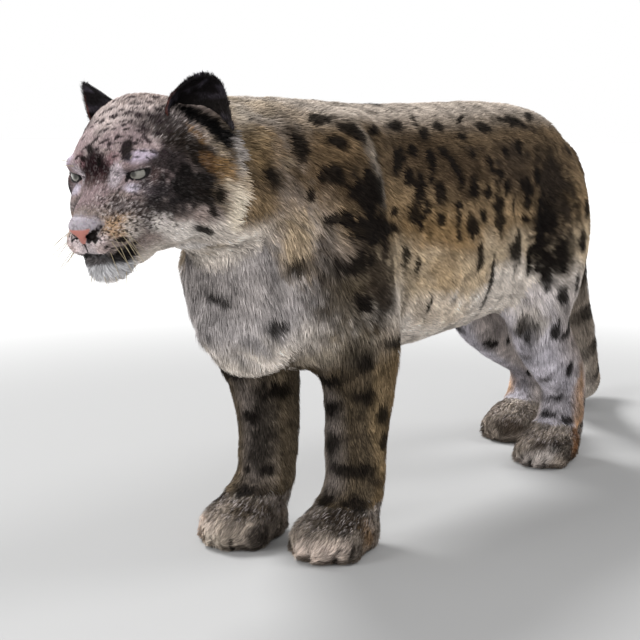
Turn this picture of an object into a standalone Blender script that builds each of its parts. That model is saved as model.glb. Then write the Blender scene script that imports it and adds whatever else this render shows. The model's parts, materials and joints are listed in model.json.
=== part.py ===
"""A snow leopard, life size, standing still: the solids of its body parts.

The animal is modelled whole, as lofted trunks and rounded muscles fused into one smooth skin, and is then parted
with thin cuts into the pieces that a person would name. +X is forward, +Y is the animal's left and +Z is up. All
sizes are metres. The origin is on the floor under the middle of the finished model.
"""

import math

import bmesh
import bpy
import numpy as np
from mathutils import Matrix, Vector

# Driving dimensions of the whole animal
BACK_HEIGHT = 0.600
BELLY_HEIGHT = 0.262
LEG_SIDE = 0.068
PAW_LENGTH = 0.142
PAW_WIDTH = 0.112
TAIL_RADIUS = 0.042
EYE_RADIUS = 0.0145
GAP = 0.0003

# How finely the fused skin is made, and how many triangles are left of it
VOXEL = 0.0040
SKIN_TRIANGLES = 8600
FINE_TRIANGLES = 23000
FACE_REACH = 0.098
RING_POINTS = 28

# The head's place: the point between the eyes, and how far it turns left, looks down and tips over
HEAD_ORIGIN = Vector((0.678, 0.007, 0.513))
HEAD_YAW = math.radians(12.0)
HEAD_PITCH = math.radians(20.5)
HEAD_ROLL = math.radians(3.0)

# Where the four paws stand: forward position of each paw's middle
PAW_X = {
    "foreleg_left": 0.325,
    "foreleg_right": 0.352,
    "hindleg_left": -0.280,
    "hindleg_right": -0.408,
}

MATERIALS = {
    "fur_back": ((0.30, 0.24, 0.17, 1.0), 0.85),
    "fur_pale": ((0.62, 0.58, 0.54, 1.0), 0.85),
    "fur_dark": ((0.05, 0.05, 0.05, 1.0), 0.85),
    "eye": ((0.42, 0.46, 0.44, 1.0), 0.08),
    "nose_leather": ((0.62, 0.25, 0.20, 1.0), 0.45),
}


def clear_scene():
    """Removes what a new file holds, so that only the animal is left."""
    for found in list(bpy.data.objects):
        bpy.data.objects.remove(found, do_unlink=True)


def head_matrix():
    """From the head's own axes (x to the nose, y to its left, z to the crown) to the world."""
    turn = Matrix.Rotation(HEAD_YAW, 4, "Z") @ Matrix.Rotation(HEAD_PITCH, 4, "Y")
    return Matrix.Translation(HEAD_ORIGIN) @ turn @ Matrix.Rotation(HEAD_ROLL, 4, "X")


HEAD = head_matrix()


def in_head(x, y, z):
    """A point given in the head's own axes, in the world."""
    return HEAD @ Vector((x, y, z))


def new_object(name, mesh):
    """Links a mesh to the scene under a name."""
    made = bpy.data.objects.new(name, mesh)
    bpy.context.scene.collection.objects.link(made)
    return made


def object_from(name, built):
    """Turns a bmesh into an object, and frees the bmesh."""
    mesh = bpy.data.meshes.new(name)
    built.to_mesh(mesh)
    built.free()
    return new_object(name, mesh)


def apply_modifiers(piece):
    """Replaces a piece's mesh by what its modifiers make of it."""
    graph = bpy.context.evaluated_depsgraph_get()
    made = bpy.data.meshes.new_from_object(piece.evaluated_get(graph))
    piece.modifiers.clear()
    piece.data = made
    return piece


def add_ball(built, centre, radii, turn=Matrix.Identity(4), rings=14):
    """A rounded mass: an ellipsoid of the three radii, turned about its centre."""
    place = Matrix.Translation(centre) @ turn @ Matrix.Diagonal((*radii, 1.0))
    bmesh.ops.create_uvsphere(built, u_segments=2 * rings, v_segments=rings, radius=1.0, matrix=place)


def add_head_ball(built, centre, radii, lean=0.0, both=False):
    """An ellipsoid in the head's axes, leaning nose-down by an angle, and mirrored when it is one of a pair."""
    for side in (1, -1) if both else (1,):
        local = Vector((centre[0], centre[1] * side, centre[2]))
        turn = HEAD.to_quaternion().to_matrix().to_4x4() @ Matrix.Rotation(lean, 4, "Y")
        add_ball(built, HEAD @ local, radii, turn)


def spline(points, steps):
    """Points along a smooth curve through rows of numbers, with equal steps between neighbours."""
    rows = np.array(points, float)
    ends = np.vstack([2 * rows[0] - rows[1], rows, 2 * rows[-1] - rows[-2]])
    out = []
    for i in range(len(rows) - 1):
        a, b, c, d = ends[i : i + 4]
        for t in np.arange(steps) / steps:
            out.append(
                0.5 * (2 * b + (c - a) * t + (2 * a - 5 * b + 4 * c - d) * t**2 + (3 * b - a - 3 * c + d) * t**3)
            )
    out.append(rows[-1])
    return np.array(out)


def bridge_rings(built, rings):
    """Joins closed rings of points into one tube, and closes both ends with a fan to their middles."""
    loops = [[built.verts.new(p) for p in ring] for ring in rings]
    count = len(loops[0])
    for one, two in zip(loops, loops[1:]):
        for i in range(count):
            j = (i + 1) % count
            built.faces.new((one[i], one[j], two[j], two[i]))
    for loop in (loops[0], loops[-1]):
        middle = built.verts.new(sum((v.co for v in loop), Vector()) / count)
        for i in range(count):
            built.faces.new((loop[i], loop[(i + 1) % count], middle))
    bmesh.ops.recalc_face_normals(built, faces=built.faces)


def add_tube(built, rows, steps=5, side=Vector((0, 1, 0)), sides=RING_POINTS):
    """A limb through rows of (x, y, z, half width across, half depth along the walk), as one tapered tube."""
    line = spline(rows, steps)
    rings = []
    for i, row in enumerate(line):
        before, after = line[max(i - 1, 0)], line[min(i + 1, len(line) - 1)]
        along = Vector(after[:3] - before[:3]).normalized()
        across = (side - along * side.dot(along)).normalized()
        deep = along.cross(across)
        ring = []
        for k in range(sides):
            angle = 2 * math.pi * k / sides
            ring.append(Vector(row[:3]) + across * row[3] * math.cos(angle) + deep * row[4] * math.sin(angle))
        rings.append(ring)
    bridge_rings(built, rings)


def add_trunk(built, rows, steps=4):
    """The barrel through stations of (x, low z, high z, half width, height of the widest place as a share)."""
    rings = []
    for x, low, high, half, widest in spline(rows, steps):
        waist = low + (high - low) * widest
        ring = []
        for k in range(RING_POINTS):
            angle = 2 * math.pi * k / RING_POINTS
            rise = (high - waist) if math.sin(angle) > 0 else (waist - low)
            flat = abs(math.cos(angle)) ** 0.88 * math.copysign(1, math.cos(angle))
            tall = abs(math.sin(angle)) ** 0.96 * math.copysign(1, math.sin(angle))
            ring.append(Vector((x, half * flat, waist + rise * tall)))
        rings.append(ring)
    bridge_rings(built, rings)


# The barrel, from the rump to the breast
TRUNK = [
    (-0.442, 0.395, 0.495, 0.026, 0.55),
    (-0.415, 0.340, 0.530, 0.050, 0.55),
    (-0.355, 0.298, 0.570, 0.070, 0.55),
    (-0.265, BELLY_HEIGHT + 0.018, BACK_HEIGHT - 0.003, 0.092, 0.54),
    (-0.140, BELLY_HEIGHT - 0.004, BACK_HEIGHT + 0.004, 0.105, 0.52),
    (-0.010, BELLY_HEIGHT - 0.014, BACK_HEIGHT + 0.001, 0.114, 0.50),
    (0.110, BELLY_HEIGHT - 0.020, BACK_HEIGHT - 0.002, 0.116, 0.50),
    (0.230, BELLY_HEIGHT - 0.022, BACK_HEIGHT - 0.004, 0.112, 0.50),
    (0.340, BELLY_HEIGHT - 0.020, BACK_HEIGHT - 0.006, 0.106, 0.52),
    (0.420, BELLY_HEIGHT - 0.004, BACK_HEIGHT - 0.018, 0.090, 0.50),
    (0.472, BELLY_HEIGHT + 0.036, BACK_HEIGHT - 0.055, 0.066, 0.48),
    (0.500, BELLY_HEIGHT + 0.090, BACK_HEIGHT - 0.110, 0.036, 0.46),
]

# The neck, from between the shoulders to the back of the skull: x, y, z, half width, half depth
NECK = [
    (0.220, 0.000, 0.490, 0.100, 0.108),
    (0.340, 0.000, 0.493, 0.104, 0.109),
    (0.440, 0.000, 0.500, 0.096, 0.104),
    (0.520, 0.002, 0.507, 0.084, 0.096),
    (0.590, 0.004, 0.512, 0.074, 0.080),
]


def foreleg_rows(side, paw_x):
    """The arm from the shoulder point through elbow and wrist to the paw."""
    y = side * LEG_SIDE
    lean = paw_x - 0.325
    return [
        (0.375 + lean * 0.3, side * 0.080, 0.420, 0.054, 0.080),
        (0.328 + lean * 0.5, side * 0.083, 0.340, 0.056, 0.090),
        (0.294 + lean * 0.7, side * 0.080, 0.275, 0.051, 0.078),
        (0.282 + lean * 0.7, side * 0.074, 0.215, 0.045, 0.060),
        (0.280 + lean * 0.7, y, 0.150, 0.042, 0.050),
        (0.284 + lean * 0.8, y, 0.095, 0.042, 0.047),
        (0.298 + lean, y, 0.050, 0.043, 0.048),
        (0.310 + lean, y, 0.022, 0.040, 0.046),
    ]


def hindleg_rows(side, paw_x):
    """The leg from the haunch through knee and hock to the paw, its hock further back on the far-set leg."""
    y = side * (LEG_SIDE + 0.002)
    lean = paw_x + 0.280
    hock = paw_x - 0.044 + lean * 0.16
    return [
        (-0.300 + lean * 0.2, side * 0.062, 0.470, 0.044, 0.080),
        (-0.275 + lean * 0.3, side * 0.072, 0.400, 0.050, 0.100),
        (-0.235 + lean * 0.5, side * 0.077, 0.320, 0.050, 0.092),
        (-0.216 + lean * 0.6, side * 0.076, 0.260, 0.046, 0.074),
        (-0.262 + lean * 0.8, side * 0.073, 0.200, 0.042, 0.058),
        (hock, y, 0.142, 0.039, 0.050),
        (hock - 0.002, y, 0.088, 0.038, 0.045),
        (hock + 0.012, y, 0.045, 0.040, 0.048),
        (hock + 0.028, y, 0.020, 0.038, 0.048),
    ]


def add_paw(built, side, paw_x, size):
    """A broad paw with four toes in a fan, round and furred, its sole a little below the floor level."""
    y = side * LEG_SIDE
    long, wide = PAW_LENGTH * size / 2, PAW_WIDTH * size / 2
    add_ball(built, Vector((paw_x - 0.010, y, 0.028)), (long * 0.80, wide * 0.86, 0.036))
    add_ball(built, Vector((paw_x - 0.036, y, 0.022)), (long * 0.50, wide * 0.72, 0.030))
    toes = ((-0.66, 0.60, 0.86), (-0.23, 0.88, 1.0), (0.23, 0.88, 1.0), (0.66, 0.60, 0.86))
    for across, ahead, share in toes:
        centre = Vector((paw_x - 0.012 + long * ahead * 0.80, y + wide * across, 0.021 * share))
        turn = Matrix.Rotation(across * 0.30, 4, "Z") @ Matrix.Rotation(0.25, 4, "Y")
        add_ball(built, centre, (0.033 * size * share, 0.0175 * size, 0.026 * share), turn, rings=10)


# The tail: it hangs from the rump, nears the floor behind the right hind paw, and its end lifts
TAIL = [
    (-0.350, 0.000, 0.518, 0.040, 0.044),
    (-0.420, 0.000, 0.493, 0.042, 0.046),
    (-0.474, -0.007, 0.440, 0.040, 0.042),
    (-0.503, -0.018, 0.355, 0.038, 0.039),
    (-0.528, -0.024, 0.265, 0.039, 0.039),
    (-0.566, -0.028, 0.182, 0.041, 0.041),
    (-0.612, -0.042, 0.114, TAIL_RADIUS, TAIL_RADIUS),
    (-0.664, -0.064, 0.075, TAIL_RADIUS, TAIL_RADIUS),
    (-0.720, -0.092, 0.062, TAIL_RADIUS, TAIL_RADIUS),
    (-0.776, -0.122, 0.074, 0.042, 0.042),
    (-0.822, -0.148, 0.110, 0.039, 0.039),
    (-0.846, -0.164, 0.156, 0.028, 0.028),
]


def add_muscles(built):
    """Shoulder blades, arms, haunches and the fullness of breast and belly."""
    for side in (1, -1):
        blade = Matrix.Rotation(math.radians(-16), 4, "Y")
        add_ball(built, Vector((0.315, side * 0.062, 0.465)), (0.105, 0.056, 0.130), blade)
        add_ball(built, Vector((0.345, side * 0.080, 0.385)), (0.108, 0.050, 0.100))
        add_ball(built, Vector((-0.286, side * 0.054, 0.428)), (0.116, 0.048, 0.108))
        add_ball(built, Vector((-0.372, side * 0.042, 0.405)), (0.054, 0.042, 0.095))
    add_ball(built, Vector((0.420, 0.0, 0.355)), (0.082, 0.086, 0.112))


def add_head(built):
    """Skull, brow, muzzle, jaw, cheeks and ruff, in the head's own axes."""
    add_head_ball(built, (-0.080, 0.0, -0.002), (0.080, 0.068, 0.066))
    add_head_ball(built, (-0.034, 0.0, 0.004), (0.050, 0.052, 0.047))
    add_head_ball(built, (0.006, 0.0, -0.018), (0.044, 0.027, 0.028), math.radians(34))
    add_head_ball(built, (0.035, 0.0, -0.035), (0.042, 0.026, 0.025), math.radians(28))
    add_head_ball(built, (0.056, 0.0, -0.037), (0.0185, 0.0205, 0.0170))
    add_head_ball(built, (0.024, 0.0, -0.054), (0.042, 0.036, 0.033))
    add_head_ball(built, (0.041, 0.015, -0.058), (0.029, 0.0215, 0.0215), both=True)
    add_head_ball(built, (0.031, 0.0, -0.090), (0.032, 0.029, 0.024))
    add_head_ball(built, (-0.012, 0.0, -0.080), (0.052, 0.041, 0.034))
    add_head_ball(built, (-0.016, 0.031, 0.010), (0.030, 0.021, 0.014), both=True)
    add_head_ball(built, (-0.037, 0.040, -0.020), (0.040, 0.030, 0.040), both=True)
    add_head_ball(built, (-0.006, 0.026, -0.042), (0.042, 0.028, 0.038), both=True)
    add_head_ball(built, (-0.052, 0.042, -0.058), (0.050, 0.036, 0.048), both=True)
    add_head_ball(built, (-0.082, 0.042, -0.014), (0.056, 0.032, 0.044), both=True)
    add_head_ball(built, (-0.132, 0.065, -0.074), (0.088, 0.052, 0.072), math.radians(-14), both=True)
    add_head_ball(built, (-0.078, 0.0, -0.078), (0.066, 0.056, 0.046))


def fused_skin():
    """One closed skin over every mass of the body, remeshed evenly."""
    built = bmesh.new()
    add_trunk(built, TRUNK)
    add_tube(built, NECK)
    add_muscles(built)
    add_tube(built, TAIL)
    for name, paw_x in PAW_X.items():
        side = 1 if name.endswith("left") else -1
        rows = foreleg_rows if name.startswith("fore") else hindleg_rows
        add_tube(built, rows(side, paw_x))
        add_paw(built, side, paw_x, 1.0 if name.startswith("fore") else 0.90)
    add_head(built)
    skin = object_from("skin", built)
    remesh = skin.modifiers.new("even", "REMESH")
    remesh.mode = "VOXEL"
    remesh.voxel_size = VOXEL
    return apply_modifiers(skin)


def share_between(value, low, high):
    """How far a value has gone from low to high, from 0 to 1, eased at both ends."""
    part = np.clip((value - low) / (high - low), 0.0, 1.0)
    return part * part * (3 - 2 * part)


def points_of(mesh):
    """All corner places of a mesh as one array."""
    places = np.empty(len(mesh.vertices) * 3, dtype=np.float32)
    mesh.vertices.foreach_get("co", places)
    return places.reshape(-1, 3).astype(float)


def firmness(places):
    """1 on the broad body, falling to 0 on the face and the paws, which keep their small forms."""
    face = np.array(in_head(0.010, 0.0, -0.030))
    from_face = np.linalg.norm(places - face, axis=1)
    body = share_between(from_face, 0.07, 0.16)
    return body * share_between(places[:, 2], 0.045, 0.110)


def weigh(piece, name, weights):
    """Stores one weight for each corner in a vertex group."""
    group = piece.vertex_groups.new(name=name)
    for step in range(1, 21):
        chosen = np.nonzero(np.round(weights * 20).astype(int) == step)[0]
        group.add(chosen.tolist(), step / 20, "REPLACE")
    return group


def soften(skin):
    """Lets the muscles flow into one another: much on the body, little on the face and paws."""
    places = points_of(skin.data)
    weigh(skin, "body", firmness(places))
    for name, passes, group in (("all over", 9, ""), ("body", 20, "body")):
        smooth = skin.modifiers.new(name, "SMOOTH")
        smooth.factor = 0.6
        smooth.iterations = passes
        smooth.vertex_group = group
    return apply_modifiers(skin)


def press(places, normals, centre, radius, lift):
    """Raises, or with a negative lift sinks, the surface around a point, fading out like a bell."""
    away = ((places - np.array(centre)) ** 2).sum(axis=1)
    bell = np.exp(-away / (2 * radius * radius))[:, None]
    places += normals * bell * lift


def press_line(places, normals, route, radius, lift):
    """Presses a groove, or raises a ridge, along a route of points."""
    rows = spline([tuple(p) for p in route], 6)
    gap = np.full(len(places), 9.0)
    for a, b in zip(rows, rows[1:]):
        run = b - a
        t = np.clip((places - a) @ run / (run @ run), 0.0, 1.0)[:, None]
        gap = np.minimum(gap, np.linalg.norm(places - (a + t * run), axis=1))
    bell = np.exp(-(gap**2) / (2 * radius * radius))[:, None]
    places += normals * bell * lift


def sculpt(skin):
    """Works the brow, sockets, cheeks, lips and toes into the surface, and the folds of the body."""
    mesh = skin.data
    places = points_of(mesh)
    normals = np.empty(len(mesh.vertices) * 3, dtype=np.float32)
    mesh.vertices.foreach_get("normal", normals)
    normals = normals.reshape(-1, 3).astype(float)
    for side in (1, -1):
        press(places, normals, in_head(0.022, side * 0.022, -0.016), 0.008, -0.004)
        press(places, normals, in_head(0.022, side * 0.038, -0.040), 0.012, -0.003)
        lip = [in_head(x, side * y, z) for x, y, z in LIP_LINE]
        press_line(places, normals, lip, 0.0040, -0.0035)
        ruff = [in_head(x, side * y, z) for x, y, z in RUFF_EDGE]
        press_line(places, normals, ruff, 0.010, -0.006)
        blade = [(0.300, side * 0.112, 0.570), (0.262, side * 0.124, 0.500), (0.236, side * 0.124, 0.400)]
        press_line(places, normals, [Vector(p) for p in blade], 0.014, -0.006)
        flank = [(-0.130, side * 0.110, 0.300), (-0.190, side * 0.118, 0.380), (-0.200, side * 0.112, 0.460)]
        press_line(places, normals, [Vector(p) for p in flank], 0.022, -0.005)
    philtrum = [in_head(0.074, 0, -0.052), in_head(0.070, 0, -0.062), in_head(0.066, 0, -0.073)]
    press_line(places, normals, philtrum, 0.0030, -0.003)
    mesh.vertices.foreach_set("co", places.astype(np.float32).ravel())
    mesh.update()
    return skin


# Where the lips meet, from the front of the muzzle to the corner of the mouth, in the head's axes
LIP_LINE = [(0.068, 0.000, -0.073), (0.062, 0.012, -0.074), (0.047, 0.028, -0.0765), (0.019, 0.037, -0.0765)]

# Where the ruff of the cheek ends over the neck, from below the ear to the throat, in the head's axes
RUFF_EDGE = [(-0.200, 0.078, 0.010), (-0.228, 0.088, -0.050), (-0.220, 0.082, -0.115), (-0.160, 0.058, -0.156)]

# The sheet that parts the jaw from the head, in the head's axes: along the lips, then down behind the chin
JAW_SHEET = [
    (0.110, -0.070),
    (0.068, -0.0735),
    (0.050, -0.0765),
    (0.018, -0.0765),
    (0.006, -0.084),
    (-0.004, -0.100),
    (-0.010, -0.125),
    (-0.012, -0.170),
]


def thin_out(skin):
    """Leaves as few triangles as the form allows: first everywhere alike, then further except on the face."""
    for name, triangles, group in (("even", FINE_TRIANGLES, ""), ("coarser", SKIN_TRIANGLES, "plain")):
        if group:
            face = np.array(in_head(0.010, 0.0, -0.035))
            from_face = np.linalg.norm(points_of(skin.data) - face, axis=1)
            weigh(skin, group, (from_face > FACE_REACH).astype(float))
        fewer = skin.modifiers.new(name, "DECIMATE")
        fewer.ratio = triangles / sum(len(face.vertices) - 2 for face in skin.data.polygons)
        fewer.vertex_group = group
        fewer.use_collapse_triangulate = True
        apply_modifiers(skin)
        skin.vertex_groups.clear()
    return skin


def boolean(piece, other, operation, keep=False):
    """Joins, cuts or keeps the shared part of a piece by another closed solid."""
    step = piece.modifiers.new(operation.lower(), "BOOLEAN")
    step.operation = operation
    step.object = other
    step.solver = "EXACT"
    apply_modifiers(piece)
    if not keep:
        bpy.data.objects.remove(other, do_unlink=True)
    return piece


def largest_body(piece):
    """Keeps only a piece's largest closed surface, which drops scraps and fills sealed hollows."""
    best = max(loose_bodies(piece), key=lambda one: one[1])
    kept = piece_from_faces(piece, best[0], piece.name)
    bpy.data.objects.remove(piece, do_unlink=True)
    return kept


def loose_bodies(piece):
    """The separate closed surfaces of a piece: the faces, volume and middle of each."""
    built = bmesh.new()
    built.from_mesh(piece.data)
    built.faces.ensure_lookup_table()
    seen = set()
    bodies = []
    for first in built.faces:
        if first.index in seen:
            continue
        found = [first]
        seen.add(first.index)
        for face in found:
            for edge in face.edges:
                for near in edge.link_faces:
                    if near.index not in seen:
                        seen.add(near.index)
                        found.append(near)
        volume = 0.0
        middle = Vector()
        for face in found:
            corners = [v.co for v in face.verts]
            for b, c in zip(corners[1:], corners[2:]):
                part = corners[0].dot(b.cross(c)) / 6
                volume += part
                middle += part * (corners[0] + b + c) / 4
        if abs(volume) > 1e-9:
            bodies.append(([face.index for face in found], volume, middle / volume))
    built.free()
    return bodies


def piece_from_faces(piece, faces, name):
    """A new object with only the listed faces of a piece."""
    built = bmesh.new()
    built.from_mesh(piece.data)
    wanted = set(faces)
    bmesh.ops.delete(built, geom=[face for face in built.faces if face.index not in wanted], context="FACES")
    bmesh.ops.triangulate(built, faces=built.faces)
    return object_from(name, built)


def box(name, low, high):
    """A closed box between two corners."""
    built = bmesh.new()
    size = Vector(high) - Vector(low)
    middle = (Vector(high) + Vector(low)) / 2
    bmesh.ops.create_cube(built, size=1.0, matrix=Matrix.Translation(middle) @ Matrix.Diagonal((*size, 1.0)))
    return object_from(name, built)


def sheet(name, rows):
    """A knife: a grid of points thickened to the width of the gap that parted pieces keep."""
    built = bmesh.new()
    corners = [[built.verts.new(point) for point in row] for row in rows]
    for one, two in zip(corners, corners[1:]):
        for i in range(len(one) - 1):
            built.faces.new((one[i], one[i + 1], two[i + 1], two[i]))
    bmesh.ops.triangulate(built, faces=built.faces)
    made = object_from(name, built)
    thick = made.modifiers.new("gap", "SOLIDIFY")
    thick.thickness = GAP
    thick.offset = 0.0
    return apply_modifiers(made)


def plate(name, centre, tilt, half_long, half_wide, yaw=0.0):
    """A flat knife across a limb: level at tilt 0, its front edge sinking with the tilt in degrees."""
    turn = Matrix.Rotation(math.radians(yaw), 4, "Z") @ Matrix.Rotation(math.radians(tilt), 4, "Y")
    place = Matrix.Translation(centre) @ turn
    rows = []
    for along in (-half_long, half_long):
        rows.append([place @ Vector((along, across, 0)) for across in (-half_wide, half_wide)])
    return sheet(name, rows)


def arch_cut(name, side, low_x, high_x, height, middle_x, bend):
    """A knife that rises outwards from between two legs, most over the leg's middle, and parts it from the trunk."""
    rows = []
    for x in np.linspace(low_x, high_x, 7):
        row = []
        rise = 1.15 - bend * (x - middle_x) ** 2
        for y in np.linspace(0.004, 0.180, 4):
            row.append(Vector((x, side * y, height(x) + y * rise)))
        rows.append(row)
    return sheet(name, rows)


def fore_height(x):
    """How high the foreleg's parting sheet starts, at the middle of the chest."""
    return 0.232


def hind_height(x):
    """How high the hind leg's parting sheet starts, just below the belly line that rises to the rear."""
    return 0.244 + 0.20 * (-0.14 - x)


def jaw_knife():
    """The knife along the mouth line and down behind the chin."""
    rows = []
    for y in (-0.060, 0.060):
        rows.append([in_head(x, y, z) for x, z in JAW_SHEET])
    return sheet("jaw_knife", rows)


def across(upper, lower):
    """The tilt, in degrees, of a plate that stands square across a limb between two of its rows."""
    return math.degrees(math.atan2(upper[0] - lower[0], upper[2] - lower[2]))


def knives():
    """Every thin cut that parts the skin into the body's named lengths."""
    made = [
        plate("nape", Vector((0.534, 0.003, 0.520)), 80.0, 0.120, 0.150),
        plate("withers", Vector((0.476, 0.0, 0.500)), 56.0, 0.150, 0.150),
        plate("tail_root", Vector((-0.448, -0.004, 0.450)), 86.0, 0.115, 0.080),
        plate("tail_bend", Vector((-0.590, -0.034, 0.146)), across(TAIL[5], TAIL[6]), 0.066, 0.070),
        plate("tail_end", Vector((-0.740, -0.102, 0.064)), -84.0, 0.070, 0.070, yaw=28.0),
        jaw_knife(),
    ]
    for side, word in ((1, "left"), (-1, "right")):
        fore = PAW_X["foreleg_" + word]
        hind = PAW_X["hindleg_" + word]
        rows = hindleg_rows(side, hind)
        over_arm = 0.330 + (fore - 0.325) * 0.5
        over_thigh = -0.300 + (hind + 0.280) * 0.3
        shin = (Vector(rows[3][:3]) + Vector(rows[5][:3])) / 2
        hock = rows[6][0]
        made.append(arch_cut("shoulder_" + word, side, 0.150, 0.500, fore_height, over_arm, 27.0))
        made.append(plate("elbow_" + word, Vector((fore - 0.040, side * 0.075, 0.222)), 14.0, 0.105, 0.068))
        made.append(plate("wrist_" + word, Vector((fore - 0.030, side * LEG_SIDE, 0.070)), 4.0, 0.085, 0.062))
        made.append(arch_cut("haunch_" + word, side, -0.470, -0.100, hind_height, over_thigh, 20.0))
        made.append(plate("knee_" + word, shin, across(rows[3], rows[5]), 0.086, 0.064))
        made.append(plate("hock_" + word, Vector((hock, side * 0.070, 0.070)), 0.0, 0.070, 0.060))
    return made


# The middle of each length of the body, by which the parted pieces are named
PLACES = {
    "torso": (0.063, 0.000, 0.429),
    "neck": (0.500, 0.000, 0.520),
    "head": (0.610, -0.005, 0.505),
    "jaw": (0.668, 0.009, 0.420),
    "foreleg_left_upper": (0.309, 0.087, 0.281),
    "foreleg_right_upper": (0.325, -0.087, 0.282),
    "foreleg_left_lower": (0.281, 0.070, 0.151),
    "foreleg_right_lower": (0.301, -0.070, 0.152),
    "forepaw_left": (0.316, 0.068, 0.032),
    "forepaw_right": (0.342, -0.068, 0.033),
    "hindleg_left_thigh": (-0.246, 0.079, 0.285),
    "hindleg_right_thigh": (-0.295, -0.079, 0.300),
    "hindleg_left_shank": (-0.306, 0.071, 0.149),
    "hindleg_right_shank": (-0.430, -0.071, 0.150),
    "hindpaw_left": (-0.294, 0.069, 0.033),
    "hindpaw_right": (-0.433, -0.069, 0.033),
    "tail_base": (-0.510, -0.018, 0.330),
    "tail_middle": (-0.660, -0.060, 0.085),
    "tail_tip": (-0.800, -0.135, 0.095),
}
SCRAP_VOLUME = 5.0e-6


def part_the_skin(skin):
    """Makes every parted length of the skin an object of its own, named by where its middle lies."""
    pieces = {}
    left = dict(PLACES)
    bodies = [body for body in loose_bodies(skin) if body[1] > SCRAP_VOLUME]
    for faces, volume, middle in sorted(bodies, key=lambda one: -one[1]):
        name = min(left, key=lambda word: (Vector(left[word]) - middle).length)
        del left[name]
        pieces[name] = piece_from_faces(skin, faces, name)
    bpy.data.objects.remove(skin, do_unlink=True)
    return pieces


def copy_of(piece, name):
    """A second object with a mesh of its own."""
    made = new_object(name, piece.data.copy())
    return made


def grown(piece, by):
    """A copy of a piece a little larger on every side, to cut what grows from it."""
    made = copy_of(piece, piece.name + "_grown")
    mesh = made.data
    places = points_of(mesh)
    normals = np.empty(len(mesh.vertices) * 3, dtype=np.float32)
    mesh.vertices.foreach_get("normal", normals)
    places += normals.reshape(-1, 3) * by
    mesh.vertices.foreach_set("co", places.astype(np.float32).ravel())
    mesh.update()
    return made


def head_ball(name, centre, radii, rings=14):
    """A ball or ellipsoid object in the head's axes."""
    built = bmesh.new()
    turn = HEAD.to_quaternion().to_matrix().to_4x4()
    add_ball(built, in_head(*centre), radii, turn, rings)
    return object_from(name, built)


# The eyes, in the head's axes: where the left ball's middle lies, and which way it looks
EYE_PLACE = (-0.0130, 0.0370, -0.0035)
EYE_OUTWARD = math.radians(24)
EYE_UPWARD = math.radians(12)
LID_THICKNESS = 0.0022
EYE_HALF_LENGTH = 0.0118
EYE_ABOVE = 0.0046
EYE_BELOW = 0.0072


def eye_opening(side):
    """The almond between the lids, flat above and round below, as a prism from the ball's middle outwards."""
    x, y, z = EYE_PLACE
    turn = Matrix.Rotation(side * EYE_OUTWARD, 4, "Z") @ Matrix.Rotation(-EYE_UPWARD, 4, "Y")
    place = HEAD @ Matrix.Translation((x, side * y, z)) @ turn
    built = bmesh.new()
    outline = []
    for k in range(18):
        angle = 2 * math.pi * k / 18
        tall = EYE_ABOVE if math.sin(angle) > 0 else EYE_BELOW
        pointed = math.copysign(abs(math.sin(angle)) ** 1.25, math.sin(angle))
        outline.append((EYE_HALF_LENGTH * math.cos(angle), tall * pointed))
    near, far = ([built.verts.new(place @ Vector((deep, w, h))) for w, h in outline] for deep in (0.004, 0.034))
    for i in range(18):
        j = (i + 1) % 18
        built.faces.new((near[i], near[j], far[j], far[i]))
    built.faces.new(near)
    built.faces.new(far)
    bmesh.ops.recalc_face_normals(built, faces=built.faces)
    return object_from("eye_opening", built)


def add_eyes(pieces):
    """Sets each eye in its socket behind an upper and a lower lid."""
    for side, word in ((1, "left"), (-1, "right")):
        centre = (EYE_PLACE[0], side * EYE_PLACE[1], EYE_PLACE[2])
        lid = EYE_RADIUS + LID_THICKNESS
        head = pieces["head"]
        boolean(head, head_ball("lid", centre, (lid,) * 3, 10), "UNION")
        boolean(head, head_ball("socket", centre, (EYE_RADIUS + 1.5 * GAP,) * 3, 10), "DIFFERENCE")
        boolean(head, eye_opening(side), "DIFFERENCE")
        pieces["head"] = largest_body(head)
        pieces["eye_" + word] = head_ball("eye_" + word, centre, (EYE_RADIUS,) * 3, 10)


# The nose leather, in the head's axes: half its outline as (across, up) from below to above, and how deep it goes
NOSE_OUTLINE = [
    (0.0, -0.0560),
    (0.0060, -0.0510),
    (0.0120, -0.0440),
    (0.0190, -0.0370),
    (0.0205, -0.0305),
    (0.0130, -0.0250),
    (0.0, -0.0235),
]
NOSE_MIDDLE = -0.038
NOSE_DEPTH = 0.020
NOSE_TIP = 0.100

# The curl of the left nostril, in the head's axes, with its half widths
NOSTRIL = [
    (0.0800, 0.0070, -0.0500, 0.0020, 0.0024),
    (0.0730, 0.0095, -0.0460, 0.0032, 0.0036),
    (0.0680, 0.0135, -0.0430, 0.0032, 0.0034),
    (0.0610, 0.0185, -0.0385, 0.0018, 0.0024),
    (0.0560, 0.0225, -0.0335, 0.0012, 0.0016),
]


def nose_block(name, grow):
    """The block that the nose leather fills, widened by a gap where it is the bed cut for it."""
    half = NOSE_OUTLINE + [(-y, z) for y, z in NOSE_OUTLINE[-2:0:-1]]
    built = bmesh.new()
    ends = []
    for x in (0.066 - NOSE_DEPTH - grow, NOSE_TIP):
        ring = []
        for y, z in half:
            away = Vector((y, z - NOSE_MIDDLE))
            away *= 1 + grow / away.length
            ring.append(built.verts.new(in_head(x, away.x, NOSE_MIDDLE + away.y)))
        ends.append(ring)
    for i in range(len(half)):
        j = (i + 1) % len(half)
        built.faces.new((ends[0][i], ends[0][j], ends[1][j], ends[1][i]))
    for ring in ends:
        built.faces.new(ring)
    bmesh.ops.recalc_face_normals(built, faces=built.faces)
    return object_from(name, built)


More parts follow.
